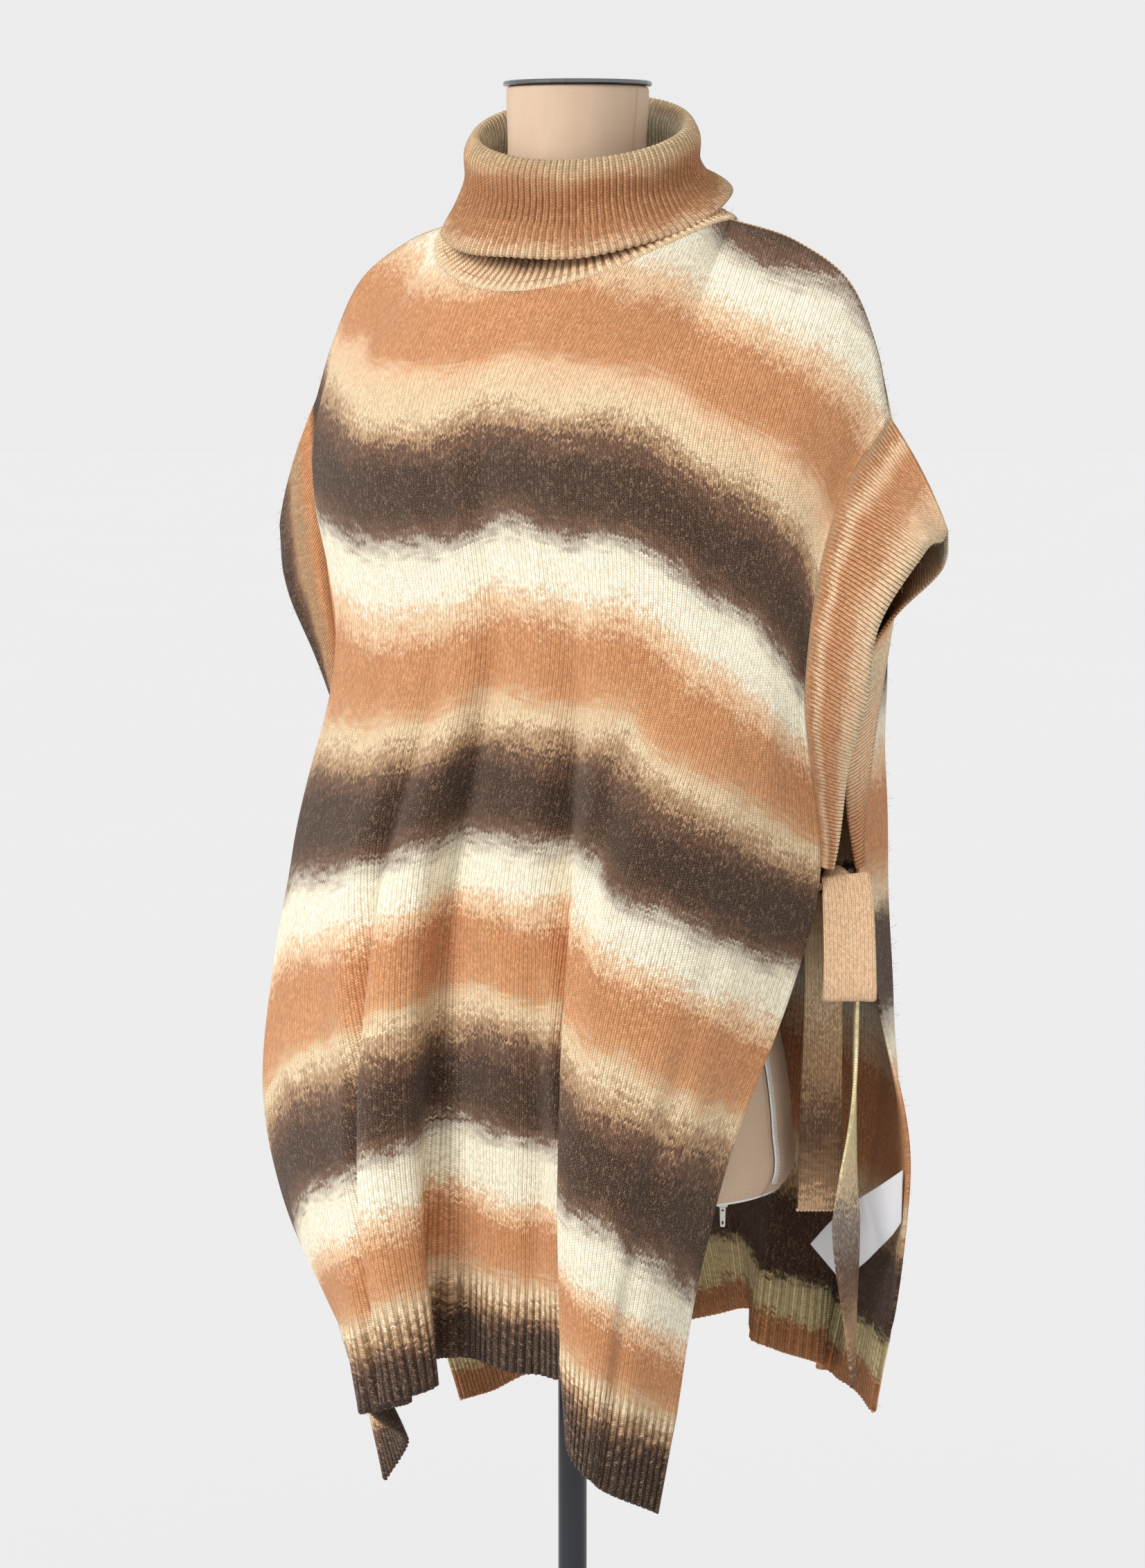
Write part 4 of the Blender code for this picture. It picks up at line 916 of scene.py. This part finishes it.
fuzzPieces = [
    fuzzOn(name, sheet, material, fibres[where], fibres["seed"] + i)
    for i, (name, sheet, material, where) in enumerate((
        ("fuzzFront", sheetFront, frontKnit, "front"), ("fuzzBack", sheetBack, backKnit, "back"),
        ("fuzzCollar", rollCollar, collarKnit, "collar"),
        ("fuzzBandLeft", bandLeft, bandKnitLeft, "bands"),
        ("fuzzBandRight", bandRight, bandKnitRight, "bands")))]
print("fuzz grown")

for sheet, piece in ((sheetFront, frontPanel), (sheetBack, backPanel), (bandLeft, leftBand),
                     (bandRight, rightBand), (rollCollar, collar)):
    thicken(sheet, piece["thickness"])


# stitches, cast-off loops and zip teeth: small shapes repeated along a path

def rowTree(kind):
    tree, given = openTree(kind + " along a path", "Path", "Row",
                           {"Pitch": "Float", "Size": "Vector", "Lean": "Float"})
    line = addNode(tree, "GeometryNodeMeshToCurve", {0: given["Path"]})
    even = addNode(tree, "GeometryNodeResampleCurve",
                   {"Curve": line.outputs[0], "Length": given["Pitch"]}, mode="LENGTH")
    if kind == "tooth":
        shape = addNode(tree, "GeometryNodeMeshCube", {"Size": (1.0, 1.0, 1.0)})
    else:
        shape = addNode(tree, "GeometryNodeMeshUVSphere",
                        {"Segments": 8, "Rings": 5, "Radius": 0.5})
    way = tree.nodes.new("GeometryNodeInputTangent")
    turned = addNode(tree, "FunctionNodeAlignRotationToVector", {"Vector": way.outputs[0]},
                     axis="X")
    lean = addNode(tree, "ShaderNodeCombineXYZ", {2: given["Lean"]})
    laid = planted(tree, even.outputs[0], shape.outputs[0], turned.outputs[0], lean.outputs[0],
                   given["Size"])
    smooth = addNode(tree, "GeometryNodeSetShadeSmooth",
                     {"Geometry": laid, "Shade Smooth": kind != "tooth"})
    return closeTree(tree, given, smooth.outputs[0])


stitchRow = rowTree("stitch")
toothRow = rowTree("tooth")


def rowAlong(name, points, pitch, size, material, tree=None, lean=0.0):
    mesh = bpy.data.meshes.new(name)
    mesh.from_pydata(np.asarray(points).tolist(), [(i, i + 1) for i in range(len(points) - 1)], [])
    return runTree(newObject(name, mesh), tree or stitchRow,
                   {"Pitch": pitch, "Size": size, "Lean": lean, "Yarn": material})


def joined(name, parts):                # several plain meshes as one piece
    with bpy.context.temp_override(active_object=parts[0], selected_editable_objects=parts):
        bpy.ops.object.join()
    parts[0].name = name
    return parts[0]


stitches = {"pitch": 3.6 * mm, "size": (3.9 * mm, 1.5 * mm, 1.1 * mm), "lean": 0.5}
castOff = {"pitch": 2.8 * mm, "size": (3.1 * mm, 2.9 * mm, 2.2 * mm)}

lift = 0.5 * frontPanel["thickness"]
neckLine = collarGrid[2] + collarNormals[2] * lift
neckSeam = np.concatenate([neckLine, neckLine[:1]])
shoulderSeams = [frontGrid[0, columns] + np.array([0, 0, lift])
                 for columns in (slice(0, 100), slice(-100, None))]
seamStitches = joined("seamStitches", [
    rowAlong("seam", path, stitches["pitch"], stitches["size"], seamYarn, lean=stitches["lean"])
    for path in (neckSeam, *shoulderSeams)])
hemFront, hemBack = (
    rowAlong(name, grid[-1], castOff["pitch"], castOff["size"], material)
    for name, grid, material in (("hemLoopsFront", frontGrid, hemYarnFront),
                                 ("hemLoopsBack", backGrid, hemYarnBack)))
print("seams stitched and hems cast off")


# the ties at both sides

bowLoop = (                             # across, behind, up, width, turn in degrees
    (0.55, -1.45, 0.1, 3.5, 0), (0.75, -2.05, -1.6, 3.7, 0), (0.90, -2.30, -5.5, 3.8, 0),
    (0.95, -2.20, -8.3, 3.9, 0), (0.95, -1.60, -9.1, 3.9, 0), (0.95, -1.00, -8.3, 3.9, 0),
    (0.90, -0.90, -5.5, 3.6, 0), (0.60, -1.05, -2.8, 3.2, 0), (0.30, -1.00, -1.2, 2.4, 0),
)
shortTail = (
    (-0.50, 0.50, -1.5, 1.6, 0), (-0.90, 0.90, -4.0, 2.6, 0), (-0.80, 1.10, -9.0, 2.8, -2),
    (-0.90, 1.20, -17.0, 3.1, 0), (-0.95, 1.15, -25.3, 3.3, 2),
)
longTail = (
    (0.95, 0.35, -1.4, 1.2, 60), (1.40, 0.80, -4.5, 2.3, 88), (1.60, 0.90, -10.0, 2.6, 90),
    (1.50, 0.90, -17.0, 2.9, 84), (1.10, 0.90, -23.0, 3.2, 62), (1.00, 0.80, -27.0, 3.2, 48),
    (1.30, 0.80, -33.0, 2.6, 64), (1.60, 0.80, -38.7, 0.9, 80),
)
tieSides = {
    "Left": {"knot": (22.3, 1.1, -58.3), "radii": (1.1, 1.25, 1.2), "face": 33.0, "mirror": 1,
             "spread": 1.0, "squeeze": 1.0, "twist": 1.0,
             "frontRoot": (20.87, -2.4, -58.9), "backRoot": (21.56, 4.94, -57.6),
             "lifts": (0.51, 0.44, 0.47)},
    "Right": {"knot": (-21.5, 3.7, -58.9), "radii": (1.1, 0.7, 1.2), "face": 0.0, "mirror": -1,
              "spread": 1.5, "squeeze": 0.62, "twist": 0.1,
              "frontRoot": (-20.52, 1.31, -58.4), "backRoot": (-20.13, 6.21, -59.2),
              "lifts": (0.3, 0.45, 0.7)},
}
tieKnit = {
    "thickness": 2.6 * mm, "section": 24, "stepsPerRow": 9, "edgeRoll": 0.45,
    # the gathered ends that run into a knot
    "rootSteps": 24, "rootHalf": 0.62 * cm, "rootThickness": 3.4 * mm, "rootRoll": 0.9,
    "endPitch": 2.6 * mm, "endSize": (3.0 * mm, 3.2 * mm, 3.0 * mm),
}


# A flat knitted strip: a rounded section swept along middle points.
def strip(name, middle, halfAcross, thickness, material, roll=tieKnit["edgeRoll"]):
    along = unit(np.gradient(middle, axis=0))
    flat = unit(np.cross(halfAcross, along))
    angle = fullCircle(tieKnit["section"])
    side = powered(np.cos(angle), 0.45)
    rise = powered(np.sin(angle), 0.55)
    rise *= 1 + roll * np.exp(-((np.abs(side) - 0.85) / 0.14) ** 2)
    points = (middle[:, None] + halfAcross[:, None] * side[:, None]
              + flat[:, None] * (rise * thickness / 2)[:, None])
    walked = lengthAlong(middle)
    width = np.linalg.norm(halfAcross, axis=-1)
    cloth = perPoint(width[:, None] * side + 0.1, (walked[-1] - walked)[:, None], 0.0)
    return closedPiece(name, points, cloth, material)


def squared(half, middle):              # half the width, kept square to the strip's run
    along = unit(np.gradient(middle, axis=0))
    return half - along * np.sum(half * along, axis=-1, keepdims=True)


def hangTie(name, table, raised, hang, material):
    count = tieKnit["stepsPerRow"] * (len(table) - 1) + 1
    across, behind, up, width, turn = evenly(table, count).T
    across = across * hang["spread"]
    behind = behind * hang["squeeze"]
    face = math.radians(hang["face"])
    x = across * math.cos(face) - behind * math.sin(face)
    y = across * math.sin(face) + behind * math.cos(face)
    middle = place(perPoint(hang["mirror"] * x, y, up + raised) + hang["knot"])
    angle = face + np.radians(turn) * hang["twist"]
    half = perPoint(hang["mirror"] * np.cos(angle), np.sin(angle), 0.0)
    half = squared(half * width[:, None] * cm / 2, middle)
    return strip(name, middle, half, tieKnit["thickness"], material), middle, half


def gatheredRoot(name, start, hang, material):
    count = tieKnit["rootSteps"]
    start = np.array(start)
    reach = np.array(hang["knot"]) - start
    end = 1 - 1 / np.linalg.norm(reach / np.array(hang["radii"]))       # the knot's own surface
    middle = place(start + reach * np.linspace(-0.08, end + 0.05, count)[:, None])
    half = np.linspace(1.1, 0.75, count)[:, None] * np.array([tieKnit["rootHalf"], 0.0, 0.0])
    half = squared(half, middle)
    middle[:, 2] += np.sin(np.linspace(0, 3 * math.pi, count)) * 0.5 * mm
    return strip(name, middle, half, tieKnit["rootThickness"], material, tieKnit["rootRoll"])


knotTurns = {
    "slantAxis": (0.75, -0.25, 0.6), "crossAxis": (-0.35, 0.2, 0.9),
    "wraps": 4.4, "bandHalf": 0.36, "grooves": 11,
    "body": 0.93, "wrapHeight": 0.06, "bandHeight": 0.10, "grooveHeight": 0.02,
}


# A tightened knot: an ellipsoid with the turns of the strip raised on it.
def pulledKnot(name, hang, material):
    tilt = np.linspace(0, math.pi, 33)[:, None]
    turn = fullCircle(48)
    ways = perPoint(np.sin(tilt) * np.cos(turn), np.sin(tilt) * np.sin(turn), np.cos(tilt))
    slantwise, across = (ways @ unit(np.array(knotTurns[axis]))
                         for axis in ("slantAxis", "crossAxis"))
    wraps = np.cos(knotTurns["wraps"] * np.arccos(np.clip(slantwise, -1, 1)))
    band = np.exp(-(across / knotTurns["bandHalf"]) ** 6)
    grooves = np.cos(knotTurns["grooves"] * across) * band
    radius = (knotTurns["body"] + knotTurns["wrapHeight"] * wraps
              + knotTurns["bandHeight"] * band + knotTurns["grooveHeight"] * grooves)
    points = place(np.array(hang["knot"]) + ways * radius[..., None] * np.array(hang["radii"]))
    return closedPiece(name, points, perPoint(turn * 1.1 * cm, tilt * 1.1 * cm, 0.0), material)


tiePieces = []
for side, hang in tieSides.items():
    tieBody = side.lower()
    loop, _, _ = hangTie("bowLoop" + side, bowLoop, hang["lifts"][0], hang, peachTie)
    tailA, middle, half = hangTie("shortTail" + side, shortTail, hang["lifts"][1], hang, tanTie)
    tailB, _, _ = hangTie("longTail" + side, longTail, hang["lifts"][2], hang, creamTie)
    frontRoot = gatheredRoot("frontRoot" + side, hang["frontRoot"], hang, peachTie)
    backRoot = gatheredRoot("backRoot" + side, hang["backRoot"], hang, darkTie)
    knotPiece = pulledKnot("knot" + side, hang, peachTie)
    endLine = middle[-1] + half[-1] * np.linspace(-1, 1, 9)[:, None]
    endLoops = rowAlong("tailEnd" + side, endLine, tieKnit["endPitch"], tieKnit["endSize"],
                        endYarn)
    tiePieces += [(loop, "bow_loop_" + tieBody, (0.038, 0.17), knotPiece),
                  (tailA, "short_tail_" + tieBody, (0.031, 0.24), knotPiece),
                  (tailB, "long_tail_" + tieBody, (0.027, 0.375), knotPiece),
                  (frontRoot, "front_tie_" + tieBody, None, None),
                  (backRoot, "back_tie_" + tieBody, None, None),
                  (knotPiece, "knot_" + tieBody, None, None),
                  (endLoops, None, None, None)]
print("ties knotted")

label = {
    "thickness": 0.7 * mm,
    # x, y, up, then half the width as a vector
    "path": (
        (25.42, 5.93, -82.4, -0.05, 0.0, -2.0), (24.2, 5.6, -83.6, 0.4, 0.3, -1.9),
        (22.4, 5.8, -85.0, 0.9, 0.6, -1.7), (20.6, 6.2, -86.6, 1.08, 0.7, -1.6),
        (18.6, 6.5, -88.4, 1.0, 0.6, -1.4),
    ),
}
labelRows = evenly(label["path"], 60)
careLabel = strip("careLabel", place(labelRows[:, :3]), labelRows[:, 3:] * cm,
                  label["thickness"], labelSatin, roll=0.25)


# the dress form

form = {
    "sides": 120, "levels": 150, "coveredIn": 0.14,
    # down, half width, half depth, middle y, squareness
    "rows": (
        (0.38, 5.30, 5.30, 0.7, 2.0), (8.0, 5.60, 5.60, 0.8, 2.0), (10.4, 7.00, 5.70, 1.2, 2.0),
        (12.1, 11.2, 4.00, 2.1, 2.0), (14.0, 16.0, 3.23, 2.9, 2.0), (16.4, 18.8, 3.80, 2.9, 2.0),
        (19.8, 19.5, 6.20, 2.2, 2.0), (24.0, 18.6, 9.20, 1.2, 2.0), (30.0, 17.4, 10.2, 0.7, 2.1),
        (39.0, 16.4, 10.9, 0.3, 2.2), (50.0, 14.6, 10.2, 0.0, 2.2), (59.0, 13.9, 9.60, 0.0, 2.2),
        (69.0, 16.4, 11.0, 0.0, 2.2), (77.0, 17.7, 11.8, 0.0, 2.2), (81.4, 17.6, 11.8, 0.0, 2.2),
        (82.6, 16.8, 11.1, 0.0, 2.2),
    ),
    "seamTurns": (0.0, 0.14, 0.36, 0.5, 0.64, 0.75, 0.86),
    "seamDepth": 0.07, "seamHalf": 0.0035, "lip": 0.3, "edgeRadius": 0.9,
}


def formRow(down):
    table = np.array(form["rows"])
    values = smoothThrough(table[:, 0], table[:, 1:], np.atleast_1d(down))[0]
    covered = form["coveredIn"] * np.exp(-((down - 15.0) / 3.5) ** 2)
    return values - np.array([covered, covered, 0, 0])


def formOutline(down, turns, inset=0.0):
    halfWidth, halfDepth, middleY, squareness = formRow(down)
    angle = 2 * math.pi * turns
    across, along = (powered(wave, 2 / squareness) for wave in (np.cos(angle), np.sin(angle)))
    return perPoint((halfWidth - inset) * across, middleY + (halfDepth - inset) * along, -down)


def buildForm(name, material):
    turns = np.linspace(0, 1, form["sides"], endpoint=False)
    first, last = form["rows"][0][0], form["rows"][-1][0]
    lip, edge = form["lip"], form["edgeRadius"]
    apart = np.abs((turns[:, None] - np.array(form["seamTurns"]) + 0.5) % 1.0 - 0.5).min(axis=1)
    groove = np.exp(-(apart / form["seamHalf"]) ** 2) * form["seamDepth"]
    rows = []
    for a in np.linspace(math.pi / 2, 0, 5)[:-1]:           # rounded rim under the cap
        rows.append(formOutline(first + lip * (1 - math.sin(a)), turns, lip * (1 - math.cos(a))))
    for down in np.linspace(first + lip, last - edge, form["levels"]):
        row = formOutline(down, turns)
        out = unit(row[:, :2] - np.array([0.0, formRow(down)[2]]))
        row[:, :2] -= out * (groove * smoothStep(9.0, 12.0, down))[:, None]
        rows.append(row)
    for a in np.linspace(0, math.pi / 2, 7)[1:]:            # rounded lower edge
        rows.append(formOutline(last - edge + edge * math.sin(a), turns,
                                edge * (1 - math.cos(a))))
    grid = place(np.stack(rows))
    return closedPiece(name, grid, perPoint(turns * 0.95, grid[..., 2], 0.0), material)


formTorso = buildForm("formTorso", formTwill)


def tube(name, path, radius, material, sides=8):            # around a level path
    along = unit(np.gradient(path, axis=0))
    first = unit(np.cross(along, np.array([0.0, 0.0, 1.0])))
    second = np.cross(first, along)
    angle = fullCircle(sides)[:, None]
    points = path[:, None] + radius * (first[:, None] * np.cos(angle)
                                       + second[:, None] * np.sin(angle))
    return closedPiece(name, points, np.zeros(points.shape), material)


zipper = {"top": 30.0, "bottom": 81.2, "tapeHalf": 2.8 * mm, "toothPitch": 1.9 * mm,
          "toothSize": (1.1 * mm, 3.2 * mm, 1.5 * mm), "pipe": 1.3 * mm,
          "stand": 0.10, "toothStand": 0.09}                # cm out from what lies below
zipDowns = np.linspace(zipper["top"], zipper["bottom"], 60)
zipLine = np.concatenate([formOutline(down, np.array([0.0])) for down in zipDowns])
zipLine[:, 0] += zipper["stand"]
zipTape = strip("zipTape", place(zipLine), np.tile([0.0, zipper["tapeHalf"], 0.0], (60, 1)),
                0.8 * mm, zipWhite, roll=0.3)
toothLine = place(zipLine + np.array([zipper["toothStand"], 0, 0]))
zipTeeth = rowAlong("zipTeeth", toothLine, zipper["toothPitch"], zipper["toothSize"], zipEnamel,
                    toothRow)
edgeLine = formOutline(form["rows"][-1][0] - 0.35, np.linspace(0, 1, 121), 0.22)
formPiping = tube("formPiping", place(edgeLine), zipper["pipe"], zipWhite)


# The zip's slider hangs under the form's edge; its pull swings below on a pin.
pin = np.array(frame["joints"][0]["pos_m"])
pull = {"turn": math.radians(33), "length": 14.5 * mm, "width": 4.2 * mm, "foot": 3.4 * mm,
        "thickness": 1.2 * mm, "overPin": 0.6 * mm}


def facing(points):                     # from the pull's own plane to the world
    c, s = math.cos(pull["turn"]), math.sin(pull["turn"])
    x, y, z = points[..., 0], points[..., 1], points[..., 2]
    return perPoint(pin[0] + c * x - s * y, pin[1] + s * x + c * y, pin[2] + z)


# A flat plate with slots: outline and holes filled as one face, then given thickness.
def slottedPlate(name, outline, holes, thickness, material):
    curve = bpy.data.curves.new(name, "CURVE")
    curve.dimensions = "2D"
    curve.fill_mode = "BOTH"
    for ring in (outline, *holes):
        spline = curve.splines.new("POLY")
        spline.points.add(len(ring) - 1)
        for point, (x, z) in zip(spline.points, ring):
            point.co = (x, z, 0.0, 1.0)
        spline.use_cyclic_u = True
    curve.extrude = thickness / 2 - 0.15 * mm
    curve.bevel_depth = 0.15 * mm
    curve.bevel_resolution = 1
    holder = newObject(name, curve)
    graph = bpy.context.evaluated_depsgraph_get()
    mesh = bpy.data.meshes.new_from_object(holder.evaluated_get(graph))
    bpy.data.objects.remove(holder)
    points = np.array([v.co for v in mesh.vertices])
    world = facing(np.stack([points[:, 0], -points[:, 2], points[:, 1]], axis=-1))
    mesh.vertices.foreach_set("co", world.ravel())
    mesh.update()
    mesh.materials.clear()
    return newObject(name, mesh, material)


def roundedOutline(halfTop, halfFoot, top, foot, corner=0.6 * mm):
    ring = []
    for x, z, start in ((halfTop, top, 0), (-halfTop, top, 90), (-halfFoot, foot, 180),
                        (halfFoot, foot, 270)):
        for a in np.radians(np.linspace(start, start + 90, 5)):
            ring.append((x - math.copysign(corner, x) + corner * math.cos(a),
                         z - (corner if z == top else -corner) + corner * math.sin(a)))
    return ring


pullTop, pullFoot = pull["overPin"], pull["overPin"] - pull["length"]
slotA = roundedOutline(1.0 * mm, 1.0 * mm, pullTop - 1.3 * mm, pullTop - 3.0 * mm, 0.5 * mm)
slotB = roundedOutline(0.9 * mm, 0.8 * mm, pullFoot + 4.4 * mm, pullFoot + 1.5 * mm, 0.5 * mm)
pullOutline = roundedOutline(pull["width"] / 2, pull["foot"] / 2, pullTop, pullFoot)
zipPull = slottedPlate("zipPull", pullOutline, [slotA[::-1], slotB[::-1]], pull["thickness"],
                       zipEnamel)
print("form, zip and piping made")

for nodeName, material in (("neck_cap", capSteel), ("pole", poleLacquer),
                           ("base_plate", poleLacquer), ("form_zip_slider", zipEnamel)):
    for slotted in frame["nodes"][nodeName].material_slots:
        slotted.material = material


# every piece joins the frame

def dress(piece, replaced=None, body="stand"):
    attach(piece, body)
    if replaced:
        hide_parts(replaced)


dress(formTorso, "dress_form")
dress(sheetFront, "front_panel")
dress(sheetBack, "back_panel")
dress(rollCollar, "collar")
dress(bandLeft, "armband_left")
dress(bandRight, "armband_right")
dress(careLabel, "care_label")
dress(zipTape, "form_zip_tape")
dress(zipTeeth)
dress(formPiping)
dress(zipPull, "form_zip_pull", "zip_pull")
for piece in (*fuzzPieces, seamStitches, hemFront, hemBack):
    dress(piece)
for piece, replaced, _, _ in tiePieces:
    dress(piece, replaced)

print("pieces on their bodies")


# floor, light and camera

studio = {
    "background": (0.845, 0.84, 0.842), "worldStrength": 1.0, "sunStrength": 2.25,
    "sunAngle": 30.0, "sunFrom": (-0.32, -0.88, 0.52), "floorRadius": 30.0,
}
view = {"turn": math.radians(33), "distance": 3.2, "height": 1.38, "tilt": math.radians(6.87),
        "lens": 97.74}

world = bpy.data.worlds.new("studio")
world.use_nodes = True
scene.world = world
backdrop = world.node_tree.nodes["Background"]
backdrop.inputs[0].default_value = (*studio["background"], 1.0)
backdrop.inputs[1].default_value = studio["worldStrength"]

sun = bpy.data.lights.new("soft key", "SUN")
sun.energy = studio["sunStrength"]
sun.angle = math.radians(studio["sunAngle"])
sunObject = bpy.data.objects.new("soft key", sun)
sunObject.rotation_euler = Vector(studio["sunFrom"]).to_track_quat("Z", "Y").to_euler()
scene.collection.objects.link(sunObject)

floorRim = [(studio["floorRadius"] * math.cos(a), studio["floorRadius"] * math.sin(a), -0.001)
            for a in fullCircle(96)]
floorMesh = bpy.data.meshes.new("floor")
floorMesh.from_pydata(floorRim, [], [list(range(96))])
floorPale = plainMaterial("floorPale", (0.709, 0.705, 0.707), 0.95, grainScale=40.0,
                          variation=0.008)
floor = newObject("floor", floorMesh, floorPale)
floor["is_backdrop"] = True

cameraData = bpy.data.cameras.new("camera")
cameraData.sensor_fit = "VERTICAL"
cameraData.sensor_height = 36.0
cameraData.lens = view["lens"]
cameraObject = bpy.data.objects.new("camera", cameraData)
cameraObject.location = (view["distance"] * math.sin(view["turn"]),
                         -view["distance"] * math.cos(view["turn"]), view["height"])
cameraObject.rotation_euler = (math.pi / 2 - view["tilt"], 0.0, view["turn"])
scene.collection.objects.link(cameraObject)
scene.camera = cameraObject
scene.view_settings.view_transform = "Standard"

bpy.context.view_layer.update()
total = 0
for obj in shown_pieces():
    if obj.type == "MESH":
        count = sum(len(face.vertices) - 2 for face in obj.data.polygons)
        total += count
        if count > 100000:
            print("  ", obj.name, count, "triangles")
print("triangles", total)
